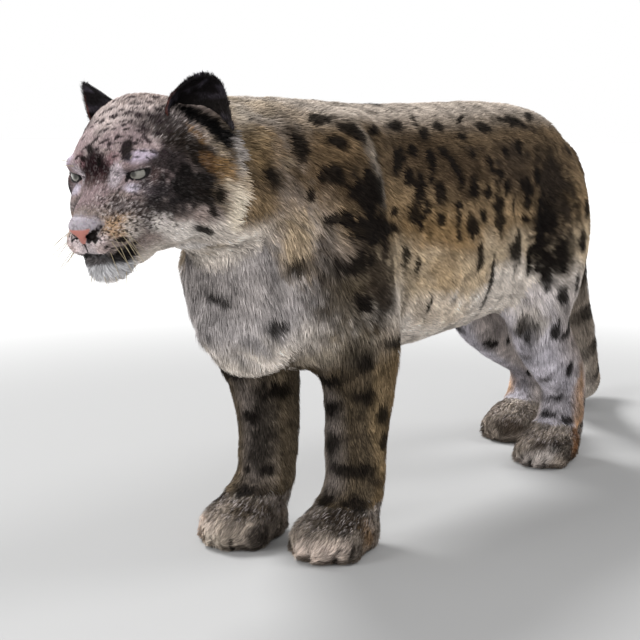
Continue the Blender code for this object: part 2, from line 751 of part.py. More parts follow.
def nostril_cutter(side):
    """A bent, tapered plug in the shape of one nostril."""
    rows = []
    for x, y, z, wide, deep in NOSTRIL:
        rows.append((*in_head(x, side * y, z), wide, deep))
    built = bmesh.new()
    add_tube(built, rows, steps=3, sides=10)
    return object_from("nostril", built)


def add_nose(pieces):
    """Takes the nose leather out of the head as a piece of its own, and opens the nostrils in both."""
    nose = copy_of(pieces["head"], "nose")
    boolean(nose, nose_block("leather", 0.0), "INTERSECT")
    boolean(pieces["head"], nose_block("bed", 1.3 * GAP), "DIFFERENCE")
    for side in (1, -1):
        plug = nostril_cutter(side)
        boolean(nose, plug, "DIFFERENCE", keep=True)
        boolean(pieces["head"], plug, "DIFFERENCE")
    pieces["nose"] = largest_body(nose)
    pieces["head"] = largest_body(pieces["head"])


# The left ear, in the head's axes: both ends of its root and its tip, which give the plane of its rim
EAR_FRONT = Vector((-0.077, 0.056, 0.041))
EAR_BACK = Vector((-0.136, 0.090, -0.026))
EAR_TIP = Vector((-0.118, 0.083, 0.070))

# Rows from below the root, sunk in the skull, to the tip: height in the rim's plane, where the rim runs in front
# and behind, measured along the root from its middle, and how deep the cup is there
EAR_ROWS = [
    (-0.0300, -0.0360, 0.0440, 0.0400),
    (-0.0120, -0.0490, 0.0520, 0.0420),
    (0.0020, -0.0560, 0.0490, 0.0420),
    (0.0130, -0.0585, 0.0380, 0.0380),
    (0.0240, -0.0550, 0.0285, 0.0320),
    (0.0345, -0.0505, 0.0190, 0.0230),
    (0.0440, -0.0435, 0.0095, 0.0140),
    (0.0520, -0.0350, -0.0010, 0.0070),
    (0.0560, -0.0265, -0.0090, 0.0030),
]
EAR_DEEPEST = 0.30
EAR_ACROSS = 11
EAR_THICKNESS = 0.0036


def ear_shell(side, word):
    """A cupped, rounded ear: rows across it from the root up to the tip, each bowed back between its two rims."""
    middle = (EAR_BACK + EAR_FRONT) / 2
    along = (EAR_BACK - EAR_FRONT).normalized()
    up = EAR_TIP - middle
    up = (up - along * up.dot(along)).normalized()
    opening = along.cross(up)
    built = bmesh.new()
    corners = []
    for height, front, back, depth in EAR_ROWS:
        row = []
        for k in range(EAR_ACROSS):
            s = -1 + 2 * k / (EAR_ACROSS - 1)
            from_deepest = (s - EAR_DEEPEST) / (1 + EAR_DEEPEST if s < EAR_DEEPEST else 1 - EAR_DEEPEST)
            bow = depth * (1 - abs(from_deepest) ** 2.2)
            arch = 0.0012 * (1 - s * s)
            point = middle + along * (front + (back - front) * (s + 1) / 2) + up * (height + arch) - opening * bow
            row.append(built.verts.new(in_head(point.x, side * point.y, point.z)))
        corners.append(row)
    for one, two in zip(corners, corners[1:]):
        for i in range(EAR_ACROSS - 1):
            built.faces.new((one[i], one[i + 1], two[i + 1], two[i]))
    bmesh.ops.triangulate(built, faces=built.faces)
    bmesh.ops.recalc_face_normals(built, faces=built.faces)
    ear = object_from("ear_" + word, built)
    thick = ear.modifiers.new("thickness", "SOLIDIFY")
    thick.thickness = EAR_THICKNESS
    thick.offset = 0.0
    return apply_modifiers(ear)


def add_ears(pieces):
    """Stands both ears on the skull, each root cut to the skull's own surface."""
    for side, word in ((1, "left"), (-1, "right")):
        ear = ear_shell(side, word)
        for host in ("head", "neck"):
            boolean(ear, grown(pieces[host], 1.4 * GAP), "DIFFERENCE")
        pieces["ear_" + word] = largest_body(ear)


def colour_of(name):
    """Which material a piece has."""
    if name.startswith("eye"):
        return "eye"
    if name == "nose":
        return "nose_leather"
    if name.startswith("ear"):
        return "fur_dark"
    if name.startswith(("jaw", "hindpaw", "forepaw")):
        return "fur_pale"
    return "fur_back"


def finish(pieces):
    """Gives each piece its material and smooth shading, and sets the whole on the origin's floor."""
    made = {}
    for name, (colour, roughness) in MATERIALS.items():
        material = bpy.data.materials.new(name)
        material.use_nodes = True
        shader = material.node_tree.nodes["Principled BSDF"]
        shader.inputs["Base Color"].default_value = colour
        shader.inputs["Roughness"].default_value = roughness
        made[name] = material
    places = np.vstack([points_of(piece.data) for piece in pieces.values()])
    low, high = places.min(axis=0), places.max(axis=0)
    SHIFT.xyz = (-(low[0] + high[0]) / 2, -(low[1] + high[1]) / 2, -low[2])
    for name, piece in pieces.items():
        piece.name = name
        piece.data.name = name
        piece.data.materials.clear()
        piece.data.materials.append(made[colour_of(name)])
        piece.data.shade_smooth()
        piece.data.transform(Matrix.Translation(SHIFT))
        piece.data.update()


SHIFT = Vector((0, 0, 0))


def main():
    """Builds the whole animal."""
    clear_scene()
    skin = sculpt(soften(fused_skin()))
    skin = thin_out(skin)
    skin = boolean(skin, box("below", (-1.2, -0.6, -0.2), (1.2, 0.6, 0.0)), "DIFFERENCE")
    for knife in knives():
        skin = boolean(skin, knife, "DIFFERENCE")
    pieces = part_the_skin(skin)
    add_nose(pieces)
    add_eyes(pieces)
    add_ears(pieces)
    finish(pieces)
    return pieces


if __name__ == "__main__":
    main()
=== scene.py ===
# %% [markdown]
# # A snow leopard, standing still
#
# The solids of the animal come in as a fixed frame: their sizes and places are final. This lesson gives them their
# looks. One living skin is drawn over the solids, it gets eyes, lids and a wet nose, and then a coat of short, thin
# tufts that lie along the body and carry the animal's markings.

# %% Load the solids
import json
import math

import bpy
import numpy as np
from mathutils import Matrix, Vector
from mathutils.bvhtree import BVHTree

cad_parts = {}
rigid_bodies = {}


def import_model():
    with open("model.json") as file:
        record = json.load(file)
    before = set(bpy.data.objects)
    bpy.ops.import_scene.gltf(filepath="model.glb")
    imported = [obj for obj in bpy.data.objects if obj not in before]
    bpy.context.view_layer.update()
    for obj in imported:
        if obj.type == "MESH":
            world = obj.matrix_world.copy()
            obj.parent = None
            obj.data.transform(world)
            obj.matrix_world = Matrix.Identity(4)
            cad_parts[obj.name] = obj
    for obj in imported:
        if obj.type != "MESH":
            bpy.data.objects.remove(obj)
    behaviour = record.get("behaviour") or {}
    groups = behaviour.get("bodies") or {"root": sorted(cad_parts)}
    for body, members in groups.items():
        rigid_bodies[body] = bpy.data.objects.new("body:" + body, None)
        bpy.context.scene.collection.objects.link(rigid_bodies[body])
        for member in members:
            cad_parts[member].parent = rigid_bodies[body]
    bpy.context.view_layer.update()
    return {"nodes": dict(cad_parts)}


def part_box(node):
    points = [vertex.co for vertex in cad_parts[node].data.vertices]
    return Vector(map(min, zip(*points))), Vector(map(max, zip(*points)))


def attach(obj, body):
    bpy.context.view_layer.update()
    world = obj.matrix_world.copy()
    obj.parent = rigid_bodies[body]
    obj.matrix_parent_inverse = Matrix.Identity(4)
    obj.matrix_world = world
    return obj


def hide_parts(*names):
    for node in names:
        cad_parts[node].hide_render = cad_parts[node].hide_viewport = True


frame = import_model()
print("solids:", len(frame["nodes"]))

# %% [markdown]
# The head is turned and lowered, so its features are easiest to place in axes of its own: x runs to the nose, y to
# the animal's left and z to the crown, from a point between the eyes. The two eyeballs of the frame fix that point.
# The body's own origin is worked out from the same point, so that every later place follows the frame.

# %% Axes of the head and of the body
HEAD_YAW, HEAD_PITCH, HEAD_ROLL = math.radians(12.0), math.radians(20.5), math.radians(3.0)
EYES_IN_HEAD = Vector((-0.0130, 0.0, -0.0035))
HEAD_IN_BODY = Vector((0.678, 0.007, 0.513))


def middle(node):
    """The middle of a solid's box."""
    low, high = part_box(node)
    return (low + high) / 2


turned = Matrix.Rotation(HEAD_YAW, 3, "Z") @ Matrix.Rotation(HEAD_PITCH, 3, "Y")
HEAD_TURN = turned @ Matrix.Rotation(HEAD_ROLL, 3, "X")
HEAD_AT = (middle("eye_left") + middle("eye_right")) / 2 - HEAD_TURN @ EYES_IN_HEAD
BODY_AT = HEAD_AT - HEAD_IN_BODY


def on_body(*place):
    """A place given in the body's axes, in the frame."""
    return Vector(place) + BODY_AT


def on_head(*place):
    """A place given in the head's axes, in the frame."""
    return HEAD_TURN @ Vector(place) + HEAD_AT


def to_body(points):
    """Frame points, as rows, in the body's axes."""
    return points - np.array(BODY_AT)


def to_head(points):
    """Frame points, as rows, in the head's axes."""
    return (points - np.array(HEAD_AT)) @ np.array(HEAD_TURN)


print("body origin:", tuple(round(v, 4) for v in BODY_AT))

# %% [markdown]
# The camera stands to the animal's left and in front of it, a little over half a metre up, and looks slightly down.
# It is made first, because the markings are placed by where they show in the picture: a sight line is sent through
# a pixel, and the mark is set where that line meets the skin.

# %% Camera
CAMERA_PLACE = on_body(1.735, 1.095, 0.571)
LOOK_ALONG = Vector((-0.7922, -0.5926, -0.1458))
PICTURE = 640
FOCAL_PIXELS = 1350.0
SENSOR = 36.0

bpy.ops.object.camera_add(location=CAMERA_PLACE)
camera = bpy.context.object
camera.name = "camera"
camera.rotation_euler = LOOK_ALONG.to_track_quat("-Z", "Y").to_euler()
camera.data.sensor_width = SENSOR
camera.data.lens = FOCAL_PIXELS * SENSOR / PICTURE
bpy.context.scene.camera = camera
bpy.context.view_layer.update()


def sight(u, v):
    """The direction of the sight line through a pixel of the picture."""
    across, down = (u - PICTURE / 2) / FOCAL_PIXELS, (v - PICTURE / 2) / FOCAL_PIXELS
    return (camera.matrix_world.to_3x3() @ Vector((across, -down, -1.0))).normalized()


print("lens:", round(camera.data.lens, 2), "mm")

# %% [markdown]
# ## Which part of the body a point belongs to
#
# The coat is made in pieces, one for each region, and hair lies another way on each of them. A region could be painted
# by hand as a vertex group, but the solids already part the body as an animal's is parted, so the nearest solid tells
# the region of any point. A BVH tree, which sorts triangles by place, finds it quickly.

# %% Regions
node_names = sorted(name for name in frame["nodes"] if not name.startswith(("eye", "ear")))
corners, triangles, owner = [], [], []
for index, name in enumerate(node_names):
    mesh = frame["nodes"][name].data
    base = len(corners)
    corners.extend(v.co.copy() for v in mesh.vertices)
    triangles.extend([base + i for i in face.vertices] for face in mesh.polygons)
    owner.extend([index] * len(mesh.polygons))
solid_tree = BVHTree.FromPolygons(corners, triangles)
owner = np.array(owner)


def nearest_node(places):
    """The index, in node_names, of the solid nearest to each place."""
    return owner[[solid_tree.find_nearest(Vector(place))[2] for place in places]]


def is_of(nodes, *words):
    """True where a node index belongs to a solid whose name starts with one of the words."""
    wanted = [index for index, name in enumerate(node_names) if name.startswith(words)]
    return np.isin(nodes, wanted)


print("regions from", len(node_names), "solids")

# %% What the picture shows where


def seen(u, v):
    """Where the sight line through a pixel meets the solids, which way they face there, and which solid it is."""
    place, facing, index = solid_tree.ray_cast(CAMERA_PLACE, sight(u, v))[:3]
    return (None, None, None) if place is None else (np.array(place), np.array(facing), owner[index])


def seen_route(*pixels):
    """A route of pixels, laid on the solids."""
    return [place for place in (seen(u, v)[0] for u, v in pixels) if place is not None]


print("the middle of the picture shows:", node_names[seen(PICTURE / 2, PICTURE / 2)[2]])

# %% [markdown]
# ## The skin
#
# The solids are parted by thin cuts, which a living animal doesn't have. A boolean union would close the cuts but
# keep their edges and leave long, thin faces. So copies of the solids are joined and remeshed with even voxels into
# one closed skin, coarse on the body. The face and paws are then subdivided where they need small forms, and the new
# points are laid back on the solids with Shrinkwrap, so that nothing of their shape is lost.

# %% Join copies of the solids of flesh
BODY_VOXEL = 0.0080
FLESH = [name for name in frame["nodes"] if not name.startswith("eye")]
SOLID_FLESH = [name for name in FLESH if not name.startswith("ear")]


def pick(*objects):
    """Deselects everything, then selects these and makes the first one active."""
    bpy.ops.object.select_all(action="DESELECT")
    for one in objects:
        one.select_set(True)
    bpy.context.view_layer.objects.active = objects[0]


def twins(names, joined):
    """Copies of some solids as one object, with the loose triangles of each welded together."""
    made = []
    for name in names:
        twin = bpy.data.objects.new(joined, frame["nodes"][name].data.copy())
        bpy.context.scene.collection.objects.link(twin)
        made.append(twin)
    pick(*made)
    bpy.ops.object.join()
    bpy.ops.object.mode_set(mode="EDIT")
    bpy.ops.mesh.select_all(action="SELECT")
    bpy.ops.mesh.remove_doubles(threshold=0.00001)
    bpy.ops.object.mode_set(mode="OBJECT")
    whole = bpy.context.object
    whole.data.materials.clear()
    return whole


def apply(piece, kind, **values):
    """Adds a modifier, sets its values and applies it."""
    pick(piece)
    modifier = piece.modifiers.new(kind.lower(), kind)
    for key, value in values.items():
        setattr(modifier, key, value)
    bpy.ops.object.modifier_apply(modifier=modifier.name)
    return piece


solid_twin = twins(SOLID_FLESH + ["eye_left", "eye_right"], "solid_twin")
skin = bpy.data.objects.new("skin", solid_twin.data.copy())
bpy.context.scene.collection.objects.link(skin)
apply(skin, "REMESH", mode="VOXEL", voxel_size=BODY_VOXEL)
print("skin, even:", len(skin.data.polygons), "faces")

# %% Read, write and choose parts of a mesh


def rows_of(items, key, wide=3, kind=np.float32):
    """One value of each item of a mesh, as rows."""
    rows = np.empty(len(items) * wide, kind)
    items.foreach_get(key, rows)
    return rows.reshape(-1, wide).astype(float if kind is np.float32 else kind)


def points_of(mesh):
    """The places of all points of a mesh."""
    return rows_of(mesh.vertices, "co")


def normals_of(mesh):
    """The outward directions at all points of a mesh."""
    return rows_of(mesh.vertices, "normal")


def move_points(mesh, rows):
    """Puts every point of a mesh at its new place."""
    mesh.vertices.foreach_set("co", rows.astype(np.float32).ravel())
    mesh.update()


def face_middles(mesh):
    """The middle of every face of a mesh."""
    return rows_of(mesh.polygons, "center")


def eased(value, low, high):
    """How far a value has gone from low to high, from 0 to 1, eased at both ends."""
    part = np.clip((value - low) / (high - low), 0.0, 1.0)
    return part * part * (3 - 2 * part)


# %% [markdown]
# Small forms need small faces. An even subdivision of the whole animal would make millions of them, so only the faces
# near the eyes, the nose, the mouth and the toes are selected, by their place, and cut into four, once to three times.

# %% Refine the face and the paws
FACE_MIDDLE = (0.010, 0.0, -0.035)
EYE_PLACE = np.array((-0.0130, 0.0370, -0.0035))


def select_faces(piece, chosen):
    """Leaves a piece in edit mode, with only the chosen faces selected."""
    pick(piece)
    bpy.ops.object.mode_set(mode="EDIT")
    bpy.ops.mesh.select_mode(type="FACE")
    bpy.ops.mesh.select_all(action="DESELECT")
    bpy.ops.object.mode_set(mode="OBJECT")
    piece.data.polygons.foreach_set("select", chosen)
    bpy.ops.object.mode_set(mode="EDIT")


def subdivide_where(piece, chosen):
    """Cuts every chosen face into four."""
    select_faces(piece, chosen)
    bpy.ops.mesh.subdivide(number_cuts=1)
    bpy.ops.object.mode_set(mode="OBJECT")


def near_face(places, reach):
    """True within a reach of the middle of the face."""
    return np.linalg.norm(to_head(places) - np.array(FACE_MIDDLE), axis=1) < reach


def near_fine_forms(places):
    """True around the eyes, the nose and the front of the mouth."""
    local = to_head(places)
    local[:, 1] = np.abs(local[:, 1])
    eye = np.linalg.norm(local - EYE_PLACE, axis=1) < 0.030
    nose = np.linalg.norm(local - np.array((0.066, 0.0, -0.045)), axis=1) < 0.034
    return eye | nose


middles = face_middles(skin.data)
subdivide_where(skin, near_face(middles, 0.105) | (to_body(middles)[:, 2] < 0.055))
subdivide_where(skin, near_face(face_middles(skin.data), 0.092))
subdivide_where(skin, near_fine_forms(face_middles(skin.data)))


def weigh(piece, title, share):
    """Keeps a share for every point of a piece as a vertex group, for modifiers to follow."""
    group = piece.vertex_groups.new(name=title)
    for step in range(1, 11):
        chosen = np.flatnonzero(np.rint(share * 10) == step)
        if len(chosen):
            group.add(chosen.tolist(), step / 10, "REPLACE")


from_middle = np.linalg.norm(to_head(points_of(skin.data)) - np.array(FACE_MIDDLE), axis=1)
weigh(skin, "fine", 1 - eased(from_middle, 0.095, 0.125))
apply(skin, "SHRINKWRAP", target=solid_twin, wrap_method="NEAREST_SURFACEPOINT", vertex_group="fine")
apply(skin, "SMOOTH", factor=0.5, iterations=3)
print("skin, refined:", sum(len(f.vertices) - 2 for f in skin.data.polygons), "triangles")

# %% [markdown]
# The solids are the outside of the coat, so the skin lies inside them by the coat's depth: half a millimetre at the
# nose, a little over one on the face, and six on the ruff, the belly and the tail. Hair that lies flat is deep by
# only a part of its length, and the same numbers later give the length of the tufts.

# %% How long the hair is, everywhere
HAIR = {
    "nose": 0.0017,
    "face": 0.0042,
    "chin": 0.0120,
    "cheek": 0.015,
    "ruff": 0.020,
    "body": 0.016,
    "belly": 0.020,
    "leg": 0.0115,
    "paw": 0.0130,
    "tail": 0.021,
}
DEPTH_SHARE = 0.30
FACE_HAIR_MIDDLE = np.array((0.0, 0.0, -0.020))


def blend(low, high, share):
    """Goes from one value to another by a share."""
    return low + (high - low) * share


def hair_length(places):
    """The coat's length at each place: short on the face, longest on the ruff, belly and tail."""
    body, head = to_body(places), to_head(places)
    length = np.full(len(places), HAIR["body"])
    length = blend(length, HAIR["belly"], 1 - eased(body[:, 2], 0.27, 0.33))
    length = blend(length, HAIR["belly"], eased(body[:, 0], 0.34, 0.42) * (1 - eased(body[:, 2], 0.42, 0.50)))
    length = blend(length, HAIR["leg"], 1 - eased(body[:, 2], 0.16, 0.27))
    length = blend(length, HAIR["paw"], 1 - eased(body[:, 2], 0.055, 0.10))
    length = blend(length, HAIR["tail"], eased(-body[:, 0], 0.46, 0.50) * eased(body[:, 2], 0.0, 0.05))
    from_face = np.linalg.norm(head - FACE_HAIR_MIDDLE, axis=1)
    on_cheek = 1 - eased(from_face, 0.13, 0.19)
    ruff = eased(-head[:, 2], 0.02, 0.08)
    length = blend(length, blend(HAIR["cheek"] * 0.75, HAIR["ruff"], ruff * eased(-head[:, 0], 0.03, 0.12)), on_cheek)
    length = blend(length, HAIR["cheek"] * 0.62, (1 - eased(from_face, 0.095, 0.135)))
    length = blend(length, HAIR["face"], 1 - eased(from_face, 0.062, 0.100))
    from_nose = np.linalg.norm(head - np.array((0.064, 0.0, -0.040)), axis=1)
    length = blend(length, HAIR["nose"], 1 - eased(from_nose, 0.018, 0.036))
    chin = eased(-head[:, 2], 0.080, 0.092) * (1 - eased(np.abs(head[:, 0] - 0.03), 0.03, 0.06))
    return blend(length, HAIR["chin"], chin * (from_face < 0.11))


def sink(piece):
    """Moves the skin inwards by the depth of the coat."""
    places = points_of(piece.data)
    depth = hair_length(places) * DEPTH_SHARE
    depth = np.where(to_body(places)[:, 2] < 0.012, np.minimum(depth, 0.0008), depth)
    move_points(piece.data, places - normals_of(piece.data) * depth[:, None])


sink(skin)
apply(skin, "SMOOTH", factor=0.5, iterations=2)
print("hair:", {key: round(value * 1000, 1) for key, value in HAIR.items()}, "mm")

# %% [markdown]
# ## The face
#
# An eye is a ball behind two lids, and the lids are what gives a cat its look. A hole could be cut for the ball, but
# its edge would be thin and ragged. Instead the skin inside the almond between the lids is pushed back behind the
# ball, and the skin around it is wrapped over the ball as a lid with a rounded edge, flat above and fuller below.

# %% Open the lids
EYE_RADIUS = 0.0145
EYE_OUTWARD, EYE_UPWARD = math.radians(24), math.radians(12)
LID = 0.0017
ALMOND_HALF, ALMOND_ABOVE, ALMOND_BELOW = 0.0106, 0.0020, 0.0060


def eye_axes(side):
    """The turn of one eye's opening, from its own axes to the frame."""
    return HEAD_TURN @ Matrix.Rotation(side * EYE_OUTWARD, 3, "Z") @ Matrix.Rotation(-EYE_UPWARD, 3, "Y")


def eye_local(places, side):
    """Places in an eye's own axes: x out through the opening, y to the animal's left and z up."""
    centre = on_head(EYE_PLACE[0], side * EYE_PLACE[1], EYE_PLACE[2])
    return (places - np.array(centre)) @ np.array(eye_axes(side))


def outside_almond(local):
    """How far outside the opening of the lids a place lies, flat above and round below, and negative inside it."""
    above = local[:, 2] > 0
    tall = np.where(above, ALMOND_ABOVE, ALMOND_BELOW)
    wide = np.abs(local[:, 1]) / ALMOND_HALF
    reach = np.sqrt(np.where(above, wide**4, wide**2) + (np.abs(local[:, 2]) / tall) ** 1.8)
    return np.minimum((reach - 1) * tall * 0.95, np.linalg.norm(local[:, 1:], axis=1))


def open_lids(piece):
    """Wraps the lids over both eyeballs and opens the almond between them."""
    places = points_of(piece.data)
    for side in (1, -1):
        local = eye_local(places, side)
        gap = outside_almond(local)
        away = np.linalg.norm(local, axis=1)
        front = (local[:, 0] > 0.0) & (away < 0.034)
        lid = EYE_RADIUS + LID * (0.35 + 0.65 * eased(gap, 0.0, 0.0022))
        wanted = np.where(gap < 0, EYE_RADIUS - 0.0035, lid)
        hold = (1 - eased(gap, 0.0035, 0.0110)) * front
        scale = blend(1.0, wanted / np.maximum(away, 0.001), hold)
        moved = local * scale[:, None]
        centre = np.array(on_head(EYE_PLACE[0], side * EYE_PLACE[1], EYE_PLACE[2]))
        places = np.where((hold > 0)[:, None], moved @ np.array(eye_axes(side)).T + centre, places)
    move_points(piece.data, places)


open_lids(skin)
print("lids opened over balls of", round(EYE_RADIUS * 1000, 1), "mm radius")

# %% [markdown]
# The nostrils, the cleft of the lip and the line of the mouth are pressed in with soft strokes, as a sculptor would.
# Sculpt brushes need a window and a hand, so each stroke is a route of points: the skin near it moves along its own
# normals, most on the route itself and less and less away from it. The same is done on the other side of the head.

# %% Press and raise strokes


def gap_to(places, route):
    """How far places lie from a route of points."""
    gap = np.full(len(places), 9.0)
    for a, b in zip(route, route[1:]):
        a, run = np.array(a), np.array(b) - np.array(a)
        t = np.clip((places - a) @ run / max(run @ run, 1e-12), 0, 1)
        gap = np.minimum(gap, np.linalg.norm(places - a - t[:, None] * run, axis=1))
    return gap


def press(places, normals, line, radius, lift):
    """Moves the skin out along its normals near a line, or inwards where the lift is negative."""
    places += normals * np.exp(-(gap_to(places, line) ** 2) / (2 * radius * radius))[:, None] * lift


def stroke(places, normals, route, radius, lift):
    """Presses a groove, or raises a ridge, along a route in the head's axes and along its mirror image."""
    for side in (1, -1):
        press(places, normals, [np.array(on_head(x, side * y, z)) for x, y, z in route], radius, lift)


def in_head_axes(route):
    """A route that was laid on the solids, in the head's axes."""
    return [tuple(row) for row in to_head(np.array(route))]


MOUTH = in_head_axes(seen_route((86, 257), (94, 259), (102, 256), (111, 251), (125, 247), (137, 244)))
MOUTH = [(MOUTH[0][0] + 0.002, 0.0, MOUTH[0][2])] + MOUTH
CLEFT = in_head_axes(seen_route((85, 246), (86, 251), (87, 257)))
NOSTRIL_PIXELS = ((88.5, 240), (91.5, 237), (95, 233.5), (98.5, 230), (101.5, 226.5))
RIGHT_NOSTRIL_LESS = 0.0023
NOSTRIL_SIZES = (0.0032, 0.0042, 0.0038, 0.0028, 0.0018)
NOSTRIL = in_head_axes(seen_route(*NOSTRIL_PIXELS))
NOSTRIL_FACING = [np.array(HEAD_TURN).T @ seen(*pixel)[1] for pixel in NOSTRIL_PIXELS]
LID_FOLD = [(0.006, 0.028, 0.0045), (0.003, 0.040, 0.0055), (-0.007, 0.052, 0.0050)]
BROW_RIDGE = [(0.006, 0.022, 0.0095), (0.000, 0.036, 0.0115), (-0.012, 0.052, 0.0100)]
UNDER_EYE = [(0.008, 0.030, -0.0125), (0.003, 0.042, -0.0160), (-0.010, 0.053, -0.0120)]
TEAR_LINE = [(0.004, 0.0285, -0.003), (0.012, 0.0270, -0.012), (0.022, 0.0270, -0.024)]
NOSE_SIDE = [(0.030, 0.0230, -0.024), (0.045, 0.0235, -0.034)]
NOSE_WING = [(0.0700, 0.0080, -0.0350), (0.0645, 0.0145, -0.0345), (0.0590, 0.0195, -0.0330)]
WHISKER_PAD = [(0.055, 0.024, -0.056), (0.042, 0.032, -0.060)]
FACE_STROKES = [
    (MOUTH, 0.0026, -0.0055), (CLEFT, 0.0013, -0.0022), (NOSTRIL[:4], 0.0026, -0.0070), (NOSTRIL[3:], 0.0013, -0.0030),
    (LID_FOLD, 0.0011, -0.0010), (BROW_RIDGE, 0.0042, 0.0034), (UNDER_EYE, 0.0013, -0.0008),
    (TEAR_LINE, 0.0022, -0.0016), (NOSE_SIDE, 0.0050, -0.0020), (WHISKER_PAD, 0.0080, 0.0006),
    (NOSE_WING, 0.0034, 0.0018),
]


def sculpt_face(piece):
    """Works the small forms of the face into the skin, one stroke after another."""
    places, normals = points_of(piece.data), normals_of(piece.data)
    for route, radius, lift in FACE_STROKES:
        stroke(places, normals, route, radius, lift)
    move_points(piece.data, places)


unpressed = skin.data.attributes.new("unpressed", "FLOAT_VECTOR", "POINT")
unpressed.data.foreach_set("vector", points_of(skin.data).astype(np.float32).ravel())
sculpt_face(skin)
print("strokes on the face:", len(FACE_STROKES), "with", len(MOUTH), "points along the mouth")

# %% [markdown]
# The body has folds too: the edge of each shoulder blade, the flank before the thigh, the loose skin of the chest.
# Their routes are given by where they show in the picture. The paws are rounded into mitts, and the trunk is smoothed
# first, because a coat hides what the voxels leave of steps and edges.

# %% Folds of the body
FOLDS = [
    (((352, 108), (370, 132), (383, 168), (393, 206), (400, 250), (406, 300), (408, 330)), 0.013, -0.0035),
    (((340, 112), (358, 136), (371, 172), (381, 210), (388, 250), (394, 300)), 0.016, 0.0025),
    (((519, 205), (528, 235), (533, 262), (531, 290), (524, 306)), 0.010, -0.0080),
    (((496, 258), (492, 280), (486, 300), (479, 316)), 0.0045, -0.0045),
    (((442, 272), (439, 292), (428, 308)), 0.0045, -0.0035),
    (((222, 300), (233, 316), (250, 330)), 0.0055, -0.0060),
    (((238, 350), (250, 358), (267, 363)), 0.0055, -0.0060),
    (((262, 336), (272, 351), (288, 361)), 0.0055, -0.0060),
]
SHOULDER_FOLDS = FOLDS[:2]


def both_sides(pixels):
    """A route of pixels laid on the side that is seen, and its mirror image on the other side."""
    route = seen_route(*pixels)
    return route, [np.array((p[0], 2 * BODY_AT.y - p[1], p[2])) for p in route]


def fold_body(piece):
    """Presses the body's folds into the skin, on the side that is seen and on the other side."""
    places, normals = points_of(piece.data), normals_of(piece.data)
    for pixels, radius, lift in FOLDS:
        for line in both_sides(pixels):
            press(places, normals, line, radius, lift)
    move_points(piece.data, places)


def round_paws(piece):
    """Raises the tops of the toes into round mitts and presses the crease behind them."""
    places, normals = points_of(piece.data), normals_of(piece.data)
    nodes = nearest_node(places)
    for name in node_names:
        if "paw" not in name:
            continue
        low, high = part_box(name)
        along = (places[:, 0] - low.x) / (high.x - low.x)
        toes = eased(along, 0.40, 0.72) * eased(places[:, 2], 0.016, 0.042)
        crease = np.exp(-(((along - 0.28) / 0.10) ** 2)) * eased(places[:, 2], 0.03, 0.05)
        places += normals * (is_of(nodes, name) * (toes * 0.0080 - crease * 0.006))[:, None]
    ankle = is_of(nodes, "forepaw", "foreleg_left_lower", "foreleg_right_lower") * eased(normals[:, 0], 0.1, 0.7)
    places[:, 0] -= ankle * np.exp(-(((places[:, 2] - 0.090) / 0.022) ** 2)) * 0.006
    move_points(piece.data, places)


def soften_edges(piece):
    """Smooths the steps behind both shoulders, which the coat of a living animal bridges."""
    places = points_of(piece.data)
    share = np.zeros(len(places))
    for fold in SHOULDER_FOLDS:
        for line in both_sides(fold[0]):
            share = np.maximum(share, 1 - eased(gap_to(places, line), 0.018, 0.045))
    weigh(piece, "edge", share)
    apply(piece, "SMOOTH", factor=0.5, iterations=34, vertex_group="edge")


def soften_body(piece):
    """Smooths the skin of the trunk and upper legs, away from the face and the paws."""
    places = points_of(piece.data)
    body = to_body(places)
    far = np.linalg.norm(to_head(places) - np.array(FACE_MIDDLE), axis=1)
    share = eased(far, 0.11, 0.16) * eased(body[:, 2], 0.08, 0.13)
    weigh(piece, "soft", share)
    apply(piece, "SMOOTH", factor=0.5, iterations=10, vertex_group="soft")
    weigh(piece, "paw", 1 - eased(body[:, 2], 0.050, 0.075))
    apply(piece, "SMOOTH", factor=0.5, iterations=4, vertex_group="paw")


round_paws(skin)
soften_body(skin)
soften_edges(skin)
fold_body(skin)
skin.data.shade_smooth()
skin_nodes = nearest_node(face_middles(skin.data))
print("folds on each side of the body:", len(FOLDS))

# %% [markdown]
# ## The ears
#
# An ear is a thin cup, too thin for the voxels of the skin: they would eat holes in it. So each ear solid is copied,
# subdivided until its rim is round, smoothed, and later joined to the skin with its root sunk in it.

# %% Ears


def ear_skin(word):
    """A finer copy of one ear's solid."""
    ear = twins(["ear_" + word], "ear_skin")
    apply(ear, "SUBSURF", levels=2, render_levels=2, subdivision_type="SIMPLE")
    apply(ear, "SMOOTH", factor=0.6, iterations=14)
    return ear


ears = {word: ear_skin(word) for word in ("left", "right")}
print("ears:", {word: len(ear.data.polygons) for word, ear in ears.items()})

# %% [markdown]
# ## The markings
#
# Each mark is named by where it shows in the picture: the pixel of its middle, its half width and half height in
# pixels, and its tilt. A sight line through its middle finds its place on the body, and the way that the surface faces
# there lays its width and height flat on it, so it becomes a small patch that looks right from every side. The same
# patches colour both the skin and the hair.

# %% Colours, and soft random patterns
LIGHT_SHARE = 0.95


def rgb(red, green, blue):
    """A colour as seen on a screen, as the colour of the surface under this light."""
    value = np.array((red, green, blue)) / 255.0
    linear = np.where(value <= 0.04045, value / 12.92, ((value + 0.055) / 1.055) ** 2.4)
    return linear * LIGHT_SHARE


PRIMES = (73856093, 19349663, 83492791)


def key_of(cell):
    """One whole number for each cell of a grid, mixed so that neighbours get unlike ones."""
    return cell[:, 0] * PRIMES[0] ^ cell[:, 1] * PRIMES[1] ^ cell[:, 2] * PRIMES[2]


